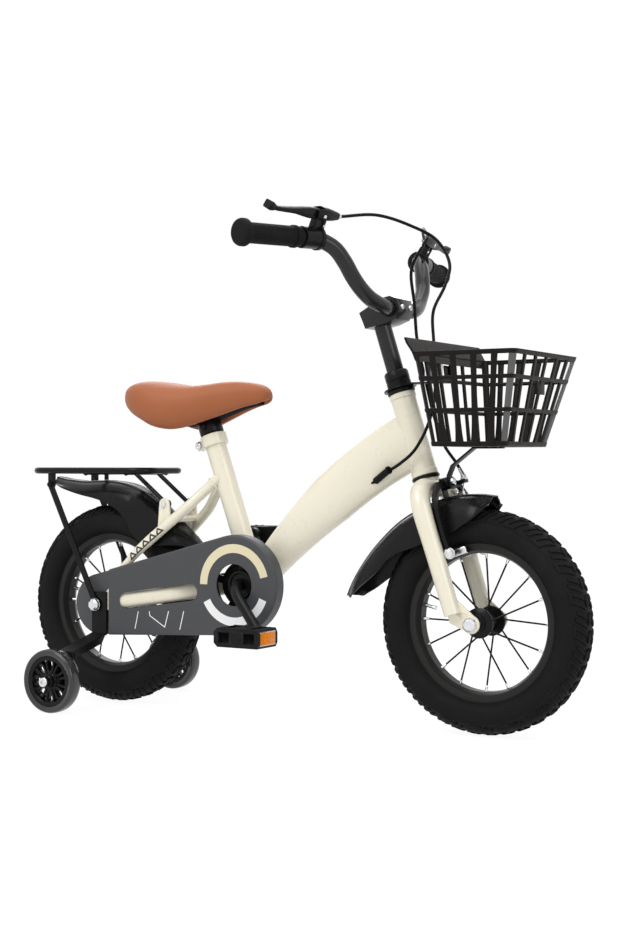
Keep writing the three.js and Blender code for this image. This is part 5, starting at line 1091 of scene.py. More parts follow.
TYRE_HALF = [
    (101.8, 13.4), (105, 15.2), (109, 16.6), (112.5, 21.5), (119, 26.6), (127, 28.7), (134, 28.4),
    (138, 27.2), (139.2, 27.9), (140.4, 26.2), (146, 21.5), (150.6, 14), (152.7, 6), (153.1, 0)]
TYRE = Sizes(profile_steps=34, tread_steps=40, turns=112, tread_radius=150)
TREAD = Sizes(slant=0.55, low=9.5, high=29.5, middle_low=1.2, middle_high=7.6)
RIM_HALF = [
    (95.5, 0), (95.5, 7.5), (96.3, 9), (99, 15.4), (100, 16.6), (102, 17), (108, 17), (109, 16.7),
    (109, 15.9), (108, 15.5), (103, 14.9), (101.5, 14.2), (101.5, 0)]
HUB_HALF = [
    (5.3, 28), (9, 28), (11.6, 27), (12, 24.5), (19.5, 22.6), (21, 21.6), (21, 19.2), (20, 18.4),
    (12.5, 18), (11, 15), (10.6, 0)]
SPOKE = Sizes(count=8, lean=radians(9), seat=19, flange=20, rim=96, rim_side=3, hook=1.6, radius=1.3)
NIPPLE_SHARES, NIPPLE_RADII = (0.9, 0.91, 0.95, 1.0), [1.7, 2.1, 2.2, 2.6]
VALVE = [(0, -96), (2.6, -96), (2.6, -84), (2.9, -83), (2.9, -78), (2.4, -76.4), (0, -76.4)]
VALVE_ANGLE = radians(168)
DRUM = [
    (5.3, 28.3), (11, 28.3), (12, 30.3), (36.5, 30.3), (38, 31.2), (38, 38.4), (34, 38.4), (34, 32.3),
    (8, 32.3), (8, 38.1), (5.3, 38.1)]
DRUM_COVER = [
    (8, 38.8), (43.5, 38.8), (45, 39.4), (45, 40.6), (43.6, 41.3), (38, 41.3), (36.8, 42.4), (33.4, 42.4),
    (32.2, 41.3), (14.6, 41.3), (14, 42.2), (14, 46.8), (13, 47.6), (8, 47.6)]


def tyre_side():
    """The side's profile from the middle of the tread to the rim, with outward normals and lengths."""
    count = TYRE.tread_steps
    points = smooth([Vector((r, y, 0)) for r, y in reversed(TYRE_HALF)], count)
    normals = []
    for i in range(count):
        tangent = (points[min(i + 1, count - 1)] - points[max(i - 1, 0)]).normalized()
        normals.append(Vector((tangent.y, -tangent.x, 0)))
    lengths = [0]
    for a, b in zip(points, points[1:]):
        lengths.append(lengths[-1] + (b - a).length)
    return points, normals, lengths


def tread_point(side_profile, along, across, height, side):
    """A point on the tyre: along the tread from angle 0, across from its middle, and up from its surface."""
    points, normals, lengths = side_profile
    reach = abs(across)
    i = max(j for j in range(len(lengths) - 1) if lengths[j] <= reach)
    share = (reach - lengths[i]) / (lengths[i + 1] - lengths[i])
    place = points[i].lerp(points[i + 1], share) + height * normals[i].lerp(normals[i + 1], share)
    angle = along / TYRE.tread_radius
    return Vector((place.x * cos(angle), place.y * side * (1 if across >= 0 else -1), place.x * sin(angle)))


def tread_bar(profile, side, start, end, half, slant=0.0, height=2.2, steps=5):
    """One rubber bar from (along, across) to (along, across), on one side of the tread."""
    section = [(-half, -1.2), (half, -1.2), (half - 0.4, height - 0.5), (half - 0.9, height),
               (0.9 - half, height), (0.4 - half, height - 0.5)]
    lengthwise = abs(end[0] - start[0]) > abs(end[1] - start[1])
    rings = []
    for i in range(steps + 1):
        t = i / steps
        along, across = start[0] + (end[0] - start[0]) * t, start[1] + (end[1] - start[1]) * t
        lift = 1 - 0.25 * abs(2 * t - 1) ** 4
        if lengthwise:
            rings.append([tread_point(profile, along, across + a, h * lift, side) for a, h in section])
        else:
            lean = slant * (across - start[1])
            rings.append([tread_point(profile, along + a + lean, across, h * lift, side) for a,
                          h in section])
    return wrapped(rings, angle=30)


def tread_sector(profile, side, pitch):
    """One pitch of the pattern on one side: a U block, two bars beside it and two blocks near the middle."""
    low, high, slant = TREAD.low, TREAD.high, TREAD.slant
    lean = slant * (high - low)
    bars = [
        ((2.6, low), (2.6, high), 2.6, slant), ((14.4, low), (14.4, high), 2.6, slant),
        ((0.4 + lean, high), (17 + lean, high), 2.4), ((26, low), (26, high - 2), 3.2, slant),
        ((36.5, low), (36.5, high - 5), 2.6, slant)]
    for share in (0.3, 0.8):
        ends = (share * pitch, TREAD.middle_low), (share * pitch, TREAD.middle_high)
        bars.append((*ends, 6.2, -0.8, 2.5, 3))
    return joined(tread_bar(profile, side, *bar) for bar in bars)


def tyre():
    half = smooth([Vector((r, y, 0)) for r, y in TYRE_HALF], TYRE.profile_steps)
    shell = turned(mirrored([(p.x, p.y) for p in half]), steps=TYRE.turns, angle=60)
    blocks = bpy.context.scene.bike_sizes.tread_blocks
    pitch = tau * TYRE.tread_radius / blocks
    profile = tyre_side()
    sectors = [tread_sector(profile, 1, pitch),
               placed(tread_sector(profile, -1, pitch), Matrix.Rotation(pi / blocks, 4, "Y"))]
    return joined([shell, repeated(joined(sectors), blocks)])


def rim():
    closed = RIM_HALF + [(r, -y) for r, y in reversed(RIM_HALF[1:-1])]
    return turned(closed, steps=2 * ROUND, angle=28)


def spoke(side):
    """One spoke with its hooked end, and its nipple at the rim."""
    lean = SPOKE.lean * side
    foot = Vector((SPOKE.seat * cos(lean), side * SPOKE.flange, SPOKE.seat * sin(lean)))
    end = Vector((SPOKE.rim, side * SPOKE.rim_side, 0))
    near = foot - side * SPOKE.hook * Y_AXIS
    across = Vector((0.1, 0.2, 1))
    wire = swept([near, foot, foot.lerp(end, 0.06), end], SPOKE.radius, across=across, sides=8)
    head = rod(near - side * Y_AXIS, near + 0.6 * side * Y_AXIS, 2.2, 10)
    nipple = swept([foot.lerp(end, share) for share in NIPPLE_SHARES], NIPPLE_RADII, across=across,
                   sides=10)
    return joined([wire, head]), nipple


def wheel(name, axle, body):
    place = Matrix.Translation(axle)
    stand_in(placed(tyre(), place), f"{name}_tyre", body, "tyre_rubber")
    stand_in(placed(rim(), place), f"{name}_rim", body, "rim_paint", "black_metal")
    wires, nipples = [], []
    for side, offset in ((1, 0), (-1, -pi / SPOKE.count)):
        wire, nipple = (placed(piece, Matrix.Rotation(offset, 4, "Y")) for piece in spoke(side))
        wires.append(wire)
        nipples.append(nipple)
    spokes = repeated(joined(wires), SPOKE.count)
    hub = turned(mirrored(HUB_HALF), steps=ROUND)
    stand_in(placed(joined([hub, spokes]), place), f"{name}_hub", body, "black_metal")
    fit(placed(repeated(joined(nipples), SPOKE.count), place), f"{name}_nipples", body, "bright_steel")
    turn = place @ Matrix.Rotation(-VALVE_ANGLE, 4, "Y") @ Matrix.Rotation(pi / 2, 4, "Z")
    fit(placed(turned(VALVE, steps=20), turn), f"{name}_valve", body, "bright_steel")


def build_wheels():
    wheel("front", FRONT_AXLE, "front_wheel")
    wheel("rear", REAR_AXLE, "rear_wheel")
    finished("front_axle", "steering", "bright_steel", 0.7, segments=3)
    finished("rear_axle", "frame", "bright_steel", 0.7, segments=3)
    place = Matrix.Translation(REAR_AXLE)
    stand_in(turned(DRUM, place), "brake_drum", "rear_wheel", "bright_steel")
    stand_in(turned(DRUM_COVER, place), "band_brake_cover", "frame", "black_metal")
    finished("band_brake_arm", "band_brake_arm", "bright_steel", 0.6)


# Mudguards, each ridge given as degrees round the wheel, then shares of its radius and half width

REAR_RIDGE_SHARES = [
    (30, 1.199, 1.13, 0.5), (36, 1.165, 1.02, 0.8), (44, 1.13, 0.86, 0.97), (53, 1.128, 0.77, 1),
    (64, 1.16, 0.785, 1), (78, 1.205, 0.93, 1), (92, 1.231, 1.025, 1), (106, 1.275, 1.13, 1),
    (115, 1.37, 1.26, 0.95), (121, 1.48, 1.41, 0.7)]
FRONT_RIDGE_SHARES = [
    (85, 1.122, 1.03, 0.7), (92, 1.132, 0.91, 1), (100, 1.142, 0.85, 1), (108, 1.152, 0.81, 1),
    (120, 1.168, 0.84, 1), (132, 1.198, 0.88, 1), (145, 1.235, 0.99, 1), (158.6, 1.3, 1.08, 0.97),
    (167, 1.355, 1.2, 0.88), (172.5, 1.4, 1.31, 0.55)]
RIDGE_SECTION = [(27, 0.8, -11), (24, 0, -7.4), (20, 0, -4.9), (15.4, 0, -3.1), (13.2, 0, -0.6), (12, 0, 0),
                 (6, 0, 0.4)]
MUDGUARD = Sizes(steps=56, turn_unit=60, lip=0.4, lip_rise=2.5, edge_weight=0.35, ridge_half=27, bulge=2.2,
                 bulge_share=0.62, bulge_drop=10, crest=0.5, thick=2, rear_half=36, front_half=38)
GUARD_TAB = (21.4, -8, 177.5), (23.4, 8, 208)
BOLT_UP, BOLT_HOLE = 200, 3.2


def mudguard_section(ridge, edge, wide, half):
    """The cross section from one lip over the ridge to the other, as (y, radius) points."""
    m = MUDGUARD
    bulge = (half * m.edge_weight + m.ridge_half * (1 - m.edge_weight)) * wide + m.bulge
    skirt = [(half * wide, edge), (half * wide - m.lip, edge + m.lip_rise),
             (bulge, edge + m.bulge_share * (ridge - m.bulge_drop - edge))]
    skirt += [(y * wide + out, ridge + rise) for y, out, rise in RIDGE_SECTION]
    return [(-y, r) for y, r in skirt] + [(0, ridge + m.crest)] + skirt[::-1]


def mudguard(ridges, half):
    unit = MUDGUARD.turn_unit
    rows = []
    for turn, ridge, edge, wide in smooth([Vector((angle / unit, *rest)) for angle, *rest in ridges],
                                          MUDGUARD.steps):
        angle = radians(turn * unit)
        section = mudguard_section(ridge * WHEEL, edge * WHEEL, wide, half)
        rows.append([Vector((r * cos(angle), y, r * sin(angle))) for y, r in section])
    sheet = grid(rows)
    apply(sheet, "SOLIDIFY", thickness=MUDGUARD.thick, offset=-1)
    bevelled(sheet, 0.5, 2, 50)
    return smooth_shade(sheet, 26)


def build_mudguards():
    rear = placed(mudguard(REAR_RIDGE_SHARES, MUDGUARD.rear_half), Matrix.Translation(REAR_AXLE))
    fit(rear, "rear_mudguard", "frame", "black_plastic", "rear_fender")
    tab = block(*GUARD_TAB, HEAD)
    cut(tab, rod(HEAD @ Vector((GUARD_TAB[0][0] - OVERRUN, 0, BOLT_UP)),
                 HEAD @ Vector((GUARD_TAB[1][0] + OVERRUN, 0, BOLT_UP)), BOLT_HOLE))
    guard = placed(mudguard(FRONT_RIDGE_SHARES, MUDGUARD.front_half), Matrix.Translation(FRONT_AXLE))
    fit(joined([guard, tab]), "front_mudguard", "steering", "black_plastic", "front_fender")


# Chain guard, chain and cranks

GUARD = Sizes(face=-60.5, depth=20, wall=2, round=3.2, rear=47, front=74, steps=48, step=-291, lap=2,
              plate=-47.3, plate_thick=1.8, axle_hole=10.5, crank_hole=31)
GUARD_SLOT = Sizes(back=(59.5, 8.8), ahead=(181.5, 26.5), radius=12.5, steps=16)
ARM = [(0, -8, 0), (0, 46, 0), (2, 56, 0), (9, 65, 0), (22, 72, 0), (52, 80, 0), (92, 89, 0)]
ARM_HALVES, ARM_DEPTHS = (8.5, 8.5, 8.5, 8.2, 8, 8, 8), (8.5, 8.5, 8.5, 7.4, 6.2, 6, 6)
ARM_EYE = Sizes(radius=12, low=83, high=95, steps=40)
CRANK_ANGLE = radians(46.3)
SPIDER = ring_profile(8.9, 34, -40.4, -37.6, 0.5)
DISH = [(8.9, -40), (22, -40), (22, -44), (20.5, -45.5), (17, -45.5), (15.5, -43.5), (8.9, -43.5)]
PEDAL = Sizes(half_long=38, cap=disc_profile(8.5, 22, 25.2, 0.8), outer=24.5, stud=2.2, stud_tip=1.5,
              stud_rise=1.3, stud_top=13)
POCKET = Sizes(x=21, half=Vector((9, 7, 7.5)))
RECESS_HALF = Vector((2.6, 20, 10))
LENS_HALF = Vector((1.4, 19, 9))
RIM_REACH = Vector((1.5, 19.8, 9.8)), Vector((0.6, 19.8, 9.8))


def build_chain_guard():
    rear, front = (REAR_AXLE.x, REAR_AXLE.z), (BRACKET.x, BRACKET.z)
    face, wall, steps = GUARD.face, GUARD.wall, GUARD.steps
    outside = belt((*rear, GUARD.rear), (*front, GUARD.front), steps)
    inside = belt((*rear, GUARD.rear - wall), (*front, GUARD.front - wall), steps)
    shell = side_plate(outside, face, face + GUARD.depth, edge=0)
    bevel_face(shell, face, GUARD.round)
    cut(shell, side_plate(inside, face + wall, face + GUARD.depth + OVERRUN, edge=0))
    half_space(shell, GUARD.step, True)
    back = side_plate(outside, GUARD.plate, GUARD.plate + GUARD.plate_thick, edge=0.3)
    half_space(back, GUARD.step + GUARD.lap, False)
    guard = joined([shell, back])
    for cutter in guard_cutters(rear, front):
        cut(guard, cutter)
    stand_in(smooth_shade(guard, 30), "chain_guard", "frame", "guard_plastic")


def guard_cutters(rear, front):
    low, high = GUARD.face - OVERRUN, GUARD.face + GUARD.depth + OVERRUN
    ends = [(rear[0] + x, rear[1] + z, GUARD_SLOT.radius) for x, z in (GUARD_SLOT.back, GUARD_SLOT.ahead)]
    return [side_plate(belt(*ends, GUARD_SLOT.steps), low, high, edge=0),
            rod((rear[0], low, rear[1]), (rear[0], high, rear[1]), GUARD.axle_hole, 40),
            rod((front[0], low, front[1]), (front[0], high, front[1]), GUARD.crank_hole, 56)]


def bevel_face(obj, y, width):
    """Rounds the rim of the face at y."""
    only(obj)
    weight = obj.data.attributes.new("bevel_weight_edge", "FLOAT", "EDGE")
    points = obj.data.vertices
    for edge in obj.data.edges:
        if all(abs(points[i].co.y - y) < 0.01 for i in edge.vertices):
            weight.data[edge.index].value = 1
    apply(obj, "BEVEL", width=width, segments=5, limit_method="WEIGHT")


def half_space(obj, x, ahead):
    """Keeps what lies ahead of x, or behind it."""
    in_edit(obj, lambda: bpy.ops.mesh.bisect(
        plane_co=(x, 0, 0), plane_no=(1, 0, 0), use_fill=True, clear_inner=ahead, clear_outer=not ahead))


def crank_arm():
    steps = ARM_EYE.steps
    arm = swept(smooth(ARM, steps), varied(ARM_HALVES, steps), varied(ARM_DEPTHS, steps), across=Z_AXIS,
                sides=24, square=2.4)
    eye = turned(disc_profile(ARM_EYE.radius, ARM_EYE.low, ARM_EYE.high, 1.4),
                 Matrix.Translation((ARM[-1][0], 0, 0)), steps)
    return joined([arm, eye])


def build_drive():
    place = Matrix.Translation(BRACKET)
    turn = place @ Matrix.Rotation(CRANK_ANGLE, 4, "Y")
    arms = joined([placed(crank_arm(), Matrix.Rotation(pi, 4, "Y")), placed(crank_arm(), MIRROR)])
    stand_in(placed(arms, turn), "crank", "crank", "black_metal")
    ring = joined([dressed("chainring", 0.3), turned(SPIDER, place, ROUND), turned(DISH, place, ROUND)])
    stand_in(ring, "chainring", "crank", "black_metal")
    finished("freewheel_cog", "cog", "chain_steel", 0.3, "bright_steel")
    finished("chain", "frame", "chain_steel", 0.25, "bright_steel")
    for name, side, _ in SIDES:
        finished(f"pedal_spindle_{name}", "crank", "bright_steel", 0.5)
        build_pedal(name, side)


def box_round(middle, low, high=None, edge=0.0):
    """A block that reaches so far below and above its middle in each direction."""
    return block(middle - low, middle + (low if high is None else high), edge=edge)


def pedal_body(name, middle, side):
    """The solid's block with two pockets in its outer end and a recess at each reflector."""
    body = dressed(f"pedal_{name}", 0)
    for x in (-POCKET.x, POCKET.x):
        cut(body, box_round(middle + Vector((x, side * PEDAL.outer, 0)), POCKET.half))
    for end in (-1, 1):
        cut(body, box_round(middle + Vector((end * PEDAL.half_long, 0, 0)), RECESS_HALF))
    bevelled(body, 0.9)
    return smooth_shade(body, 30)


def pedal_studs(middle):
    places = [(x, y, top) for top in (1, -1) for x in (-30, -18, 18, 30) for y in (-18, 18)]
    for x, y, top in places:
        centre = middle + Vector((x, y, top * PEDAL.stud_top))
        yield rod(centre, centre + top * PEDAL.stud_rise * Z_AXIS, PEDAL.stud, 10, PEDAL.stud_tip)


def build_pedal(name, side):
    low, high = (Vector(corner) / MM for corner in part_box(f"pedal_{name}"))
    middle = (low + high) / 2
    flip = Matrix() if side > 0 else MIRROR
    cap = turned(PEDAL.cap, Matrix.Translation(middle) @ flip, SMALL_ROUND)
    stand_in(joined([pedal_body(name, middle, side), *pedal_studs(middle), cap]), f"pedal_{name}",
             f"pedal_{name}", "pedal_plastic")
    ends = [middle + Vector((end * (PEDAL.half_long - 1), 0, 0)) for end in (-1, 1)]
    lenses = joined(box_round(end, LENS_HALF, edge=0.9) for end in ends)
    rims = joined(box_round(end, *RIM_REACH, edge=0.4) for end in ends)
    fit(lenses, f"pedal_{name}_reflectors", f"pedal_{name}", "reflector_amber", slot="pedal_plastic")
    fit(rims, f"pedal_{name}_reflector_rims", f"pedal_{name}", "bright_steel", slot="pedal_plastic")


# Basket

BASKET = Sizes(floor=398, rise=126, corner=12, slat_low=400, slat_high=523)
BASKET_REACHES = ((381.5, 412), (278, 262), (72, 110), (92, 114))
BANDS = ((521, 6, 4), (489, 5.4, 3.8), (446, 5.4, 3.8), (401, 6.4, 4), (523.4, 1.8, 5.2))
CORNER_POST = Sizes(inset=5.4, shares=(0, 0.33, 0.66, 1), thick=2.2, halves=[4.2, 4.4, 4.8, 5.4])
BACK_ROWS = ((512, 266, 109), (524, 262.5, 112.5), (536, 255, 114.5), (543, 252.5, 115.6),
             (544, 253.4, 115.2))
BACK_THICK, BACK_TOP_THICK = 3.6, 1.4
FLOOR_SLOTS = Sizes(rows=7, first=290, step=12.5, radius=2.8, under=8, depth=20,
                    places=((-52, 12), (-18, 13), (18, 13), (52, 12)))
BADGE = Sizes(height=478, low=(-3.4, -13, -10), high=(0.4, 13, 8))
HOOK_PLATE = (238, -26, 488.6), (240.6, 26, 520)


def basket_corner(height):
    """How far the basket reaches at a height: front, rear, half at the front, half at the rear."""
    share = (height - BASKET.floor) / BASKET.rise
    return [low + (high - low) * share for low, high in BASKET_REACHES]


def basket_ring(height, inset=0, steps=6):
    """The rounded outline of the basket at a height."""
    front, rear, front_half, rear_half = basket_corner(height)
    front, rear, front_half, rear_half = front - inset, rear + inset, front_half - inset, rear_half - inset
    corners = [Vector(c) for c in ((front, front_half), (rear, rear_half), (rear, -rear_half),
                                   (front, -front_half))]
    points = []
    for i, corner in enumerate(corners):
        reach = BASKET.corner - inset / 2
        start = corner + (corners[i - 1] - corner).normalized() * reach
        end = corner + (corners[(i + 1) % 4] - corner).normalized() * reach
        for j in range(steps + 1):
            t = j / steps
            p = (1 - t) ** 2 * start + 2 * t * (1 - t) * corner + t * t * end
            points.append(Vector((p.x, p.y, height)))
    return points


def basket_band(height, wide, thick):
    """A band all round at a height, on the outer face of the slats."""
    outer = [basket_ring(height - wide / 2), basket_ring(height + wide / 2)]
    inner = [basket_ring(height + wide / 2, thick), basket_ring(height - wide / 2, thick)]
    rings = []
    for corners in zip(*outer, *inner):
        ring = []
        for i, inset in enumerate((0.12, 0.15, 0.12, 0.15)):
            a, b = corners[i], corners[(i + 1) % 4]
            ring += [a.lerp(b, inset), a.lerp(b, 1 - inset)]
        rings.append(ring)
    return wrapped(rings, loop=True, angle=50)


def slat(low, high, inward, foot, half, thick=3.4):
    """An upright slat between two points on the outer face, flared at its foot."""
    low, high, inward = Vector(low), Vector(high), Vector(inward).normalized()
    shares = [i / 8 for i in range(9)]
    places = [low.lerp(high, t) + inward * thick / 2 for t in shares]
    halves = [half + (foot - half) * max(1 - t / 0.3, 0) ** 2 + 0.8 * max(t / 0.2 - 4, 0) for t in shares]
    return swept(places, thick / 2, halves, across=inward, sides=16, square=4)


def basket_slats():
    low, high = BASKET.slat_low, BASKET.slat_high
    front_low, rear_low, front_foot, rear_foot = basket_corner(low)
    front_top, rear_top, front_rim, rear_rim = basket_corner(high)
    slats = []
    for share in (0.2, 0.4, 0.6, 0.8):
        foot = rear_low + (front_low - rear_low) * share, rear_foot + (front_foot - rear_foot) * share
        top = rear_top + (front_top - rear_top) * share, rear_rim + (front_rim - rear_rim) * share
        for side in (1, -1):
            slats.append(slat((foot[0], side * foot[1], low), (top[0], side * top[1], high), (0, -side, 0),
                              6.4, 4))
    for i in range(1, 6):
        share = i / 3 - 1
        slats.append(slat((front_low, front_foot * share, low), (front_top, front_rim * share, high),
                          (-1, 0, 0), 4.6, 3.6))
        slats.append(slat((rear_low, rear_foot * share, low), (rear_top, rear_rim * share, high),
                          (1, 0, 0), 5, 3.8))
    return slats


def corner_posts(front):
    """The pair of posts in the front corners, or in the rear ones."""
    reach, half, inward = (0, 2, -1) if front else (1, 3, 1)
    inset = CORNER_POST.inset
    posts = []
    for side in (1, -1):
        ends = []
        for height in (BASKET.slat_low, BASKET.slat_high):
            corner = basket_corner(height)
            ends.append(Vector((corner[reach] + inward * inset, side * (corner[half] - inset), height)))
        across = Vector((inward, -side, 0)).normalized()
        places = [ends[0].lerp(ends[1], t) for t in CORNER_POST.shares]
        posts.append(swept(places, CORNER_POST.thick, CORNER_POST.halves, across=across, sides=16,
                           square=3))
    return joined(posts)


def basket_back():
    rings = []
    for height, x, half in BACK_ROWS:
        thick = BACK_TOP_THICK if height == BACK_ROWS[-1][0] else BACK_THICK
        section = [Vector((x, y, height)) for y in varied([-half, half], 25)]
        rings.append(section + [p + thick * X_AXIS for p in reversed(section)])
    return wrapped(rings, angle=40)


def basket_floor():
    outline = [(p.x, p.y) for p in basket_ring(BASKET.slat_low, 2)]
    floor = plate(outline, 4, Matrix.Translation((0, 0, BASKET.floor)), edge=0.8)
    under, radius = Matrix.Translation((0, 0, BASKET.floor - FLOOR_SLOTS.under)), FLOOR_SLOTS.radius
    slots = []
    for i in range(FLOOR_SLOTS.rows):
        x = FLOOR_SLOTS.first + FLOOR_SLOTS.step * i
        for y, half in FLOOR_SLOTS.places:
            slots.append(plate(belt((x, y - half, radius), (x, y + half, radius), 6), FLOOR_SLOTS.depth, under,
                               edge=0))
    return cut(floor, joined(slots))


def build_basket():
    bands = [basket_band(*band) for band in BANDS]
    face = Vector((basket_corner(BADGE.height)[0], 0, BADGE.height))
    badge = block(face + Vector(BADGE.low), face + Vector(BADGE.high), edge=0.8)
    shell = joined([*bands, *basket_slats(), corner_posts(False), basket_back(), basket_floor(), badge])
    fit(shell, "basket_shell", "steering", "basket_plastic", "basket")
    # The front corner posts take the lighter grey, a painted highlight on the corners
    fit(corner_posts(True), "basket_front_posts", "steering", "basket_highlight_grey", slot="basket_plastic")
    finished("basket_bracket", "steering", "black_metal", 0.7, "bar_paint")
    fit(block(*HOOK_PLATE, edge=0.5), "basket_hook_plate", "steering", "bright_steel")
    finished("basket_strut", "steering", "black_metal", 0.6)


# Brakes and cables

FRONT_CABLE = [
    (188, 66, 717), (212, 26, 706), (226, 6, 694), (224, -6, 680), (206, -4, 650), (204, 9, 600),
    (206, 13, 551), (217, 17, 495), (231, 18, 440), (246, 20, 400), (262, 26, 375), (272, 27, 358)]
REAR_CABLE = [
    (186, -70, 719), (215, -25, 708), (238, 12, 690), (258, 12, 655), (256, 2, 625), (243, -9, 588),
    (246, -14, 545), (250.5, -17.5, 500), (249, -19, 462), (240, -23, 425), (222, -28, 392),
    (200, -29.5, 374), (174, -25.1, 360.5), (165, -20.7, 355.5), (153, -14.8, 348.9), (138, -10, 345),
    (120, -5, 338), (80, 0, 312), (45, 4, 285), (20, 8, 263), (0, 11, 247), (-10, 14.5, 240.5),
    (-20, 21, 235.5), (-30, 26.5, 232.5), (-45, 28.5, 231.5), (-62, 29, 230), (-80, 29, 222.5),
    (-100, 30, 213), (-120, 32, 206.5), (-150, 36.5, 202), (-172, 37, 194), (-195, 37, 182),
    (-215, 38, 168), (-235, 43, 152), (-256, 48, 143)]
CABLE = Sizes(radius=2.3, sides=12, across=Vector((0.31, 0.42, 0.853)), front_steps=110, rear_steps=260,
              start=25, barrel_end=38, ferrule=3.1, ferrule_long=12)
GROMMET = [(2.7, -2), (4.9, -2), (5.8, -1), (5.8, 0.8), (5, 1.8), (2.7, 1.8)]
GROMMET_AT, GROMMET_INSIDE, GROMMET_RADIUS = Vector((183, -29.5, 365.5)), Vector((155, -15.8, 350)), 5
ANCHOR = (30, 20, 196), (47, 33, 201.5)
BARREL_RODS = [
    ((44, 27, 200), (44, 27, 207.5), 4.2, 20), ((44, 27, 201.5), (44, 27, 204), 5.4, 6),
    ((44, 27, 201), (38, 17, 179), 1, 8), ((33, 17.6, 182), (42, 17.6, 182), 4, 6)]
SHOE = Sizes(back=12.5, ahead=43.5, low=95.8, high=106.2, near=26, far=32, nut_half=48, nut_up=101,
             nut_ahead={"left": 31.8, "right": 26.4})


def cable(points, side, steps):
    """A sleeve from its lever's barrel through its points."""
    barrel = []
    for inset in (CABLE.start, CABLE.barrel_end):
        point = grip_place(LEVER_BACK) @ Vector((0, -inset, LEVER_OFFSET))
        barrel.append(Vector((point.x, side * point.y, point.z)))
    whole = barrel + [Vector(p) for p in points]
    return swept(smooth(whole, steps), CABLE.radius, across=CABLE.across, sides=CABLE.sides)


def build_cables():
    front = cable(FRONT_CABLE, 1, CABLE.front_steps)
    stand_in(front, "front_brake_cable", "steering", "cable_sleeve")
    rear = cable(REAR_CABLE, -1, CABLE.rear_steps)
    sleeve = stand_in(rear, "rear_brake_cable", None, "cable_sleeve")
    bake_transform(sleeve)
    end, before = Vector(FRONT_CABLE[-1]), Vector(FRONT_CABLE[-2])
    ferrule = rod(end, end + (before - end).normalized() * CABLE.ferrule_long, CABLE.ferrule, 20,
                  CABLE.ferrule * 0.9)
    fit(ferrule, "front_cable_ferrule", "steering", "bright_steel")
    turn = (GROMMET_AT - GROMMET_INSIDE).to_track_quat("Y", "X").to_matrix().to_4x4()
    lip = placed(turned(GROMMET, steps=SMALL_ROUND), Matrix.Translation(GROMMET_AT) @ turn)
    stand_in(joined([rod(GROMMET_AT, GROMMET_INSIDE, GROMMET_RADIUS), lip]), "cable_grommet", "frame",
             "grip_rubber")


def build_brakes():
    """The front cable's anchor and barrel with the bare wire under it, the arms, shoes and bolt."""
    fit(block(*ANCHOR, HEAD, 1, 3), "front_cable_anchor", "caliper_arm_left", "black_metal")
    barrel = joined(rod(HEAD @ Vector(start), HEAD @ Vector(end), *rest) for start, end,
                    *rest in BARREL_RODS)
    fit(barrel, "front_cable_barrel", "caliper_arm_left", "bright_steel")
    for name, side, _ in SIDES:
        finished(f"caliper_arm_{name}", f"caliper_arm_{name}", "black_metal", 0.7)
        nut_at = sideways((SHOE.nut_ahead[name], side * SHOE.nut_half, SHOE.nut_up), side, HEAD)
        near, far = sorted((side * SHOE.near, side * SHOE.far))
        shoe = block((SHOE.back, near, SHOE.low), (SHOE.ahead, far, SHOE.high), HEAD, 1.6, 3)
        fit(joined([hex_bolt(nut_at, 6.8, 5), shoe]), f"brake_shoe_{name}", f"caliper_arm_{name}",
            "bright_steel")
    finished("caliper_bolt", "steering", "bright_steel", 0.6)


# Rack

RACK = Sizes(height=364, back=-425, ahead=-258, half=25, corner=30, tube=5, steps=12, bars=(264, 343),
             bar_height=360.75, bar_half=55, bar_radius=3.5, post_angle=radians(97), post_share=1.247,
             bead_half=51.5)
RACK_STRUT = Sizes(middle=29.2, radius=3.4, pin=2.5, pin_inner=3.4, pin_outer=9.8, flat=6.8, low=25.8,
                   high=32.6)
RACK_TAB = Sizes(x=-410, z=342, radius=7, top=362, low=52.3, high=55.3, hole=2.8, bolt=58.6)


def rack_hoop():
    loop = []
    for x, start in ((RACK.ahead, -90), (RACK.ahead, 0), (RACK.back, 90), (RACK.back, 180)):
        y = -RACK.half if start in (-90, 180) else RACK.half
        loop += [Vector((*point, RACK.height)) for point in arc(x, y, RACK.corner, start, start + 90,
                                                                RACK.steps)]
    return swept(loop, RACK.tube, across=Z_AXIS, sides=20, loop=True)


def rack_side():
    eye = Vector((TAB.x, RACK_STRUT.middle, TAB.z))
    strut = rod((-RACK.bars[0], RACK_STRUT.middle, RACK.bar_height), eye, RACK_STRUT.radius, 20)
    pin = rod(eye - RACK_STRUT.pin_inner * Y_AXIS, eye + RACK_STRUT.pin_outer * Y_AXIS, RACK_STRUT.pin, 16)
    flat = turned(disc_profile(RACK_STRUT.flat, RACK_STRUT.low, RACK_STRUT.high),
                  Matrix.Translation((TAB.x, 0, TAB.z)), SMALL_ROUND)
    x, radius = RACK_TAB.x, RACK_TAB.radius
    outline = [*arc(x, RACK_TAB.z, radius, 180, 360, 14), (x + radius, RACK_TAB.top),
               (x - radius, RACK_TAB.top)]
    tab = cut(side_plate(outline, RACK_TAB.low, RACK_TAB.high, edge=0.6), hole_at(RACK_TAB))
    beads = [bead((-x, RACK.bead_half, RACK.bar_height), Y_AXIS, 3.4, 1.3, 24) for x in RACK.bars]
    return joined([strut, pin, flat, tab, *beads])


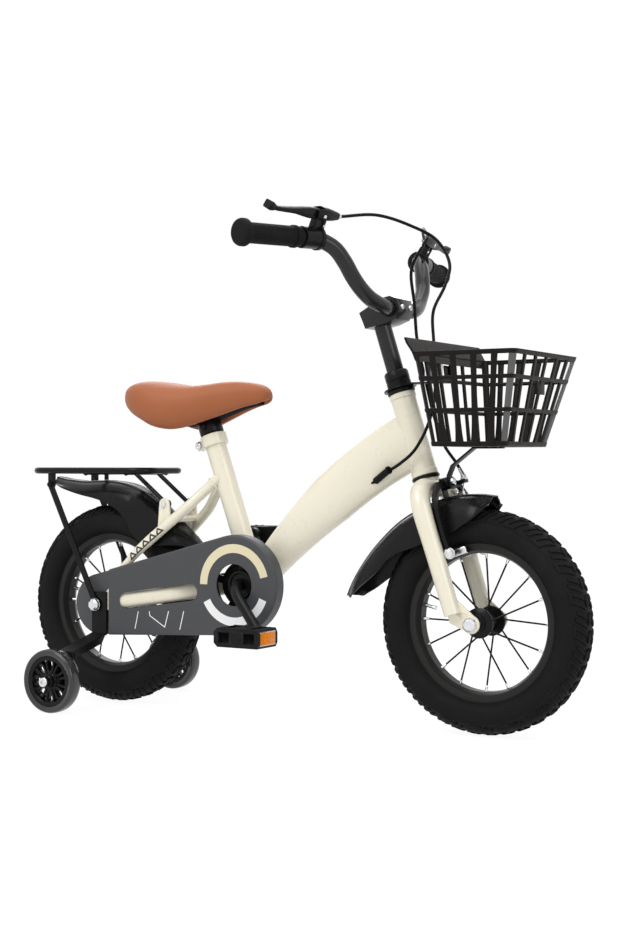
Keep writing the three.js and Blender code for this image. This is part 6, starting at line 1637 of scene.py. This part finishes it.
def build_rack():
    height, half = RACK.bar_height, RACK.bar_half
    bars = [rod((-x, -half, height), (-x, half, height), RACK.bar_radius, 20) for x in RACK.bars]
    foot = REAR_AXLE.z + WHEEL * RACK.post_share * sin(RACK.post_angle)
    post = rod((-RACK.bars[1], 0, foot), (-RACK.bars[1], 0, height), RACK.bar_radius, 20)
    side = rack_side()
    stand_in(joined([rack_hoop(), *bars, post, side, copy_of(side, MIRROR)]), "rear_rack", "frame",
             "black_metal")
    for name, _, flip in SIDES:
        finished(f"rack_stay_{name}", "frame", "black_metal", 0.6, segments=3)
        bolt = dome_bolt(sideways((RACK_TAB.x, RACK_TAB.bolt, RACK_TAB.z), 1, flip), 4.6, 3)
        tab_bolt = hex_bolt(sideways((TAB.x, TAB.high, TAB.z), 1, flip), 4.4, 3)
        fit(bolt, f"rack_stay_{name}_bolt", "frame", "black_metal")
        fit(tab_bolt, f"rack_tab_{name}_bolt", "frame", "bright_steel")


# Training wheels

TRAINING = Sizes(x=-324.5, y=155, z=48, spokes=8, bolt=173)
TRAINING_HOOP = [(32.5, -8.6), (37.4, -9), (38, -8.4), (38, 8.4), (37.4, 9), (32.5, 8.6), (31.8, 8),
                 (31.8, -8)]
TRAINING_BOSS = [
    (5.6, -13), (9, -13), (10, -12.2), (10, -5.4), (12.5, -4), (12.5, 4), (10, 5.4), (10, 12.2), (9, 13),
    (5.6, 13)]
TRAINING_TYRE = [
    (38.3, -9), (42.6, -10.6), (44.4, -11), (46.6, -9.8), (47.7, -7), (48, -3), (48, 3), (47.7, 7),
    (46.6, 9.8), (44.4, 11), (42.6, 10.6), (38.3, 9)]
LOOP = Sizes(inner=(16, 0, 5.6), outer=(26, 0, 8.4), hole_inner=(18, 0, 2.6), hole_outer=(26.6, 0, 4.8),
             half=5)


def loop_spoke():
    """One looped spoke, rounded outside and open in its middle."""
    whole = plate(belt(LOOP.inner, LOOP.outer, 10), 2 * LOOP.half, Matrix.Translation((0, 0, -LOOP.half)),
                  edge=0)
    cut(whole, plate(belt(LOOP.hole_inner, LOOP.hole_outer, 8), 4 * LOOP.half,
                     Matrix.Translation((0, 0, -2 * LOOP.half)), edge=0))
    bevelled(whole, 0.7)
    return placed(smooth_shade(whole), standing())


def build_training_wheels():
    for name, side, flip in SIDES:
        place = Matrix.Translation((TRAINING.x, side * TRAINING.y, TRAINING.z))
        spokes = repeated(loop_spoke(), TRAINING.spokes)
        body = joined([turned(TRAINING_HOOP), turned(TRAINING_BOSS), spokes])
        stand_in(placed(body, place), f"training_wheel_{name}", f"training_wheel_{name}", "black_plastic")
        ring = turned(TRAINING_TYRE, place, angle=50)
        stand_in(ring, f"training_tyre_{name}", f"training_wheel_{name}", "smoky_ring", "small_tyre")
        finished(f"training_bracket_{name}", "frame", "black_metal", 0.9, segments=3)
        bolt = dome_bolt(sideways((TRAINING.x, TRAINING.bolt, TRAINING.z), 1, flip), 7.6, 4.6)
        fit(bolt, f"training_bolt_{name}", "frame", "bright_steel")


# Stage

CAMERA_AT = (1.2548, -2.0178, 0.372)
CAMERA_TURN = 31.12
LENS = 61.95
AIM = Vector((0, 0, 0.35))
WHITE = (1, 1, 1, 1)
FLOOR_SIZE, FLOOR_GREY, FLOOR_ROUGHNESS, FLOOR_GLOW, FLOOR_SHARE = 14, 0.82, 0.9, 1.08, 0.86
WORLD_LIGHT = 0.55
LAMPS = (("key", (-0.6, -2.2, 2.6), 1.6, 46), ("top", (0.1, 0.3, 2.8), 2.2, 30),
         ("fill", (2.6, -0.9, 1.5), 1.4, 16), ("back", (-1.4, 2.0, 1.7), 1.4, 14))


def seen_white(graph, lit, white, strength=1.0):
    """Mixes a lit shader with plain white where the camera, a mirror or glass sees it."""
    sockets = graph.node("ShaderNodeLightPath").socket.node.outputs
    camera, glossy, through = (Shade(graph, sockets[f"Is {kind} Ray"])
                               for kind in ("Camera", "Glossy", "Transmission"))
    seen = camera.math("MAXIMUM", camera.math("MAXIMUM", camera, glossy), through)
    return graph.node("ShaderNodeMixShader", {}, {0: seen * strength, 1: lit, 2: white})


def build_floor():
    fresh()
    bpy.ops.mesh.primitive_plane_add(size=FLOOR_SIZE, location=(0, 0, 0))
    floor = bpy.context.object
    floor.name = "floor"
    material = bpy.data.materials.new("floor_white")
    graph = Graph(material)
    shader = graph.tree.nodes["Principled BSDF"]
    graph.link(shader.inputs["Base Color"], (*(FLOOR_GREY,) * 3, 1))
    graph.link(shader.inputs["Roughness"], FLOOR_ROUGHNESS)
    glow = graph.node("ShaderNodeEmission", {}, {"Strength": FLOOR_GLOW})
    mix = seen_white(graph, Shade(graph, shader.outputs[0]), glow, FLOOR_SHARE)
    graph.link(graph.tree.nodes["Material Output"].inputs[0], mix)
    floor.data.materials.append(material)


def build_world(context):
    world = bpy.data.worlds.new("studio")
    context.scene.world = world
    graph = Graph(world)
    soft = graph.tree.nodes["Background"]
    graph.link(soft.inputs[0], WHITE)
    graph.link(soft.inputs[1], WORLD_LIGHT)
    white = graph.node("ShaderNodeBackground", {}, {0: WHITE})
    mix = seen_white(graph, Shade(graph, soft.outputs[0]), white)
    graph.link(graph.tree.nodes["World Output"].inputs[0], mix)


def build_lights():
    for name, place, size, power in LAMPS:
        fresh()
        bpy.ops.object.light_add(type="AREA", location=place)
        lamp = bpy.context.object
        lamp.name = name
        lamp.data.energy = power
        lamp.data.size = size
        lamp.rotation_euler = (AIM - Vector(place)).to_track_quat("-Z", "Y").to_euler()


def build_camera(context):
    fresh()
    bpy.ops.object.camera_add(location=CAMERA_AT, rotation=(pi / 2, 0, radians(CAMERA_TURN)))
    camera = bpy.context.object
    camera.data.lens = LENS
    camera.data.sensor_width = 36
    camera.data.clip_start = 0.05
    context.scene.camera = camera
    context.scene.view_settings.view_transform = "Standard"


# Operators

class BikeStep:
    """Shared by the operators: runs the class's own steps."""

    bl_options = {"REGISTER", "UNDO"}

    def execute(self, context):
        self.build(context)
        return {"FINISHED"}


class BIKE_OT_finishes(BikeStep, bpy.types.Operator):
    """Makes the paints, plastics, metals, rubber and leather"""

    bl_idname = "bike.finishes"
    bl_label = "Finishes"

    def build(self, context):
        make_finishes()


class BIKE_OT_stage(BikeStep, bpy.types.Operator):
    """Sets the floor, the soft lights and the camera"""

    bl_idname = "bike.stage"
    bl_label = "Stage"

    def build(self, context):
        build_floor()
        build_world(context)
        build_lights()
        build_camera(context)


class BIKE_OT_frame(BikeStep, bpy.types.Operator):
    """Models the welded frame, its bearing cups and the seat collar"""

    bl_idname = "bike.frame"
    bl_label = "Frame"

    def build(self, context):
        build_frame()


class BIKE_OT_saddle(BikeStep, bpy.types.Operator):
    """Models the saddle, its pan, clamp and post"""

    bl_idname = "bike.saddle"
    bl_label = "Saddle"

    def build(self, context):
        build_saddle()


class BIKE_OT_fork(BikeStep, bpy.types.Operator):
    """Models the fork, the locknut and the stem"""

    bl_idname = "bike.fork"
    bl_label = "Fork and stem"

    def build(self, context):
        build_fork()


class BIKE_OT_handlebar(BikeStep, bpy.types.Operator):
    """Models the handlebar, grips and brake levers"""

    bl_idname = "bike.handlebar"
    bl_label = "Handlebar"

    def build(self, context):
        build_handlebar()


class BIKE_OT_wheels(BikeStep, bpy.types.Operator):
    """Models the tyres, rims, hubs and spokes"""

    bl_idname = "bike.wheels"
    bl_label = "Wheels"

    def build(self, context):
        build_wheels()


class BIKE_OT_mudguards(BikeStep, bpy.types.Operator):
    """Models both mudguards"""

    bl_idname = "bike.mudguards"
    bl_label = "Mudguards"

    def build(self, context):
        build_mudguards()


class BIKE_OT_drive(BikeStep, bpy.types.Operator):
    """Models the chain guard, chain, cranks and pedals"""

    bl_idname = "bike.drive"
    bl_label = "Drive"

    def build(self, context):
        build_chain_guard()
        build_drive()


class BIKE_OT_basket(BikeStep, bpy.types.Operator):
    """Models the slatted basket and its bracket"""

    bl_idname = "bike.basket"
    bl_label = "Basket"

    def build(self, context):
        build_basket()


class BIKE_OT_brakes(BikeStep, bpy.types.Operator):
    """Models the brake arms and both cables"""

    bl_idname = "bike.brakes"
    bl_label = "Brakes and cables"

    def build(self, context):
        build_brakes()
        build_cables()


class BIKE_OT_rack(BikeStep, bpy.types.Operator):
    """Models the rear rack and its stays"""

    bl_idname = "bike.rack"
    bl_label = "Rack"

    def build(self, context):
        build_rack()


class BIKE_OT_training_wheels(BikeStep, bpy.types.Operator):
    """Models the training wheels and their brackets"""

    bl_idname = "bike.training_wheels"
    bl_label = "Training wheels"

    def build(self, context):
        build_training_wheels()


STEPS = (BIKE_OT_stage, BIKE_OT_finishes, BIKE_OT_frame, BIKE_OT_saddle, BIKE_OT_fork, BIKE_OT_handlebar,
         BIKE_OT_wheels, BIKE_OT_mudguards, BIKE_OT_drive, BIKE_OT_basket, BIKE_OT_brakes, BIKE_OT_rack,
         BIKE_OT_training_wheels)


class BIKE_PT_panel(bpy.types.Panel):
    """Lists the bike's colours, sizes and steps"""

    bl_label = "Kids Bike"
    bl_idname = "BIKE_PT_panel"
    bl_space_type = "VIEW_3D"
    bl_region_type = "UI"
    bl_category = "Bike"

    def draw(self, context):
        for group in (context.scene.bike_colours, context.scene.bike_sizes):
            for name in group.__annotations__:
                self.layout.prop(group, name)
        for step in STEPS:
            self.layout.operator(step.bl_idname)


CLASSES = (BikeColours, BikeSizes, *STEPS, BIKE_PT_panel)


def register():
    for cls in CLASSES:
        bpy.utils.register_class(cls)
    bpy.types.Scene.bike_colours = bpy.props.PointerProperty(type=BikeColours)
    bpy.types.Scene.bike_sizes = bpy.props.PointerProperty(type=BikeSizes)


def unregister():
    del bpy.types.Scene.bike_sizes
    del bpy.types.Scene.bike_colours
    for cls in reversed(CLASSES):
        bpy.utils.unregister_class(cls)


def main():
    register()
    for step in STEPS:
        area, name = step.bl_idname.split(".")
        getattr(getattr(bpy.ops, area), name)()
    fresh()


if __name__ == "__main__":
    main()
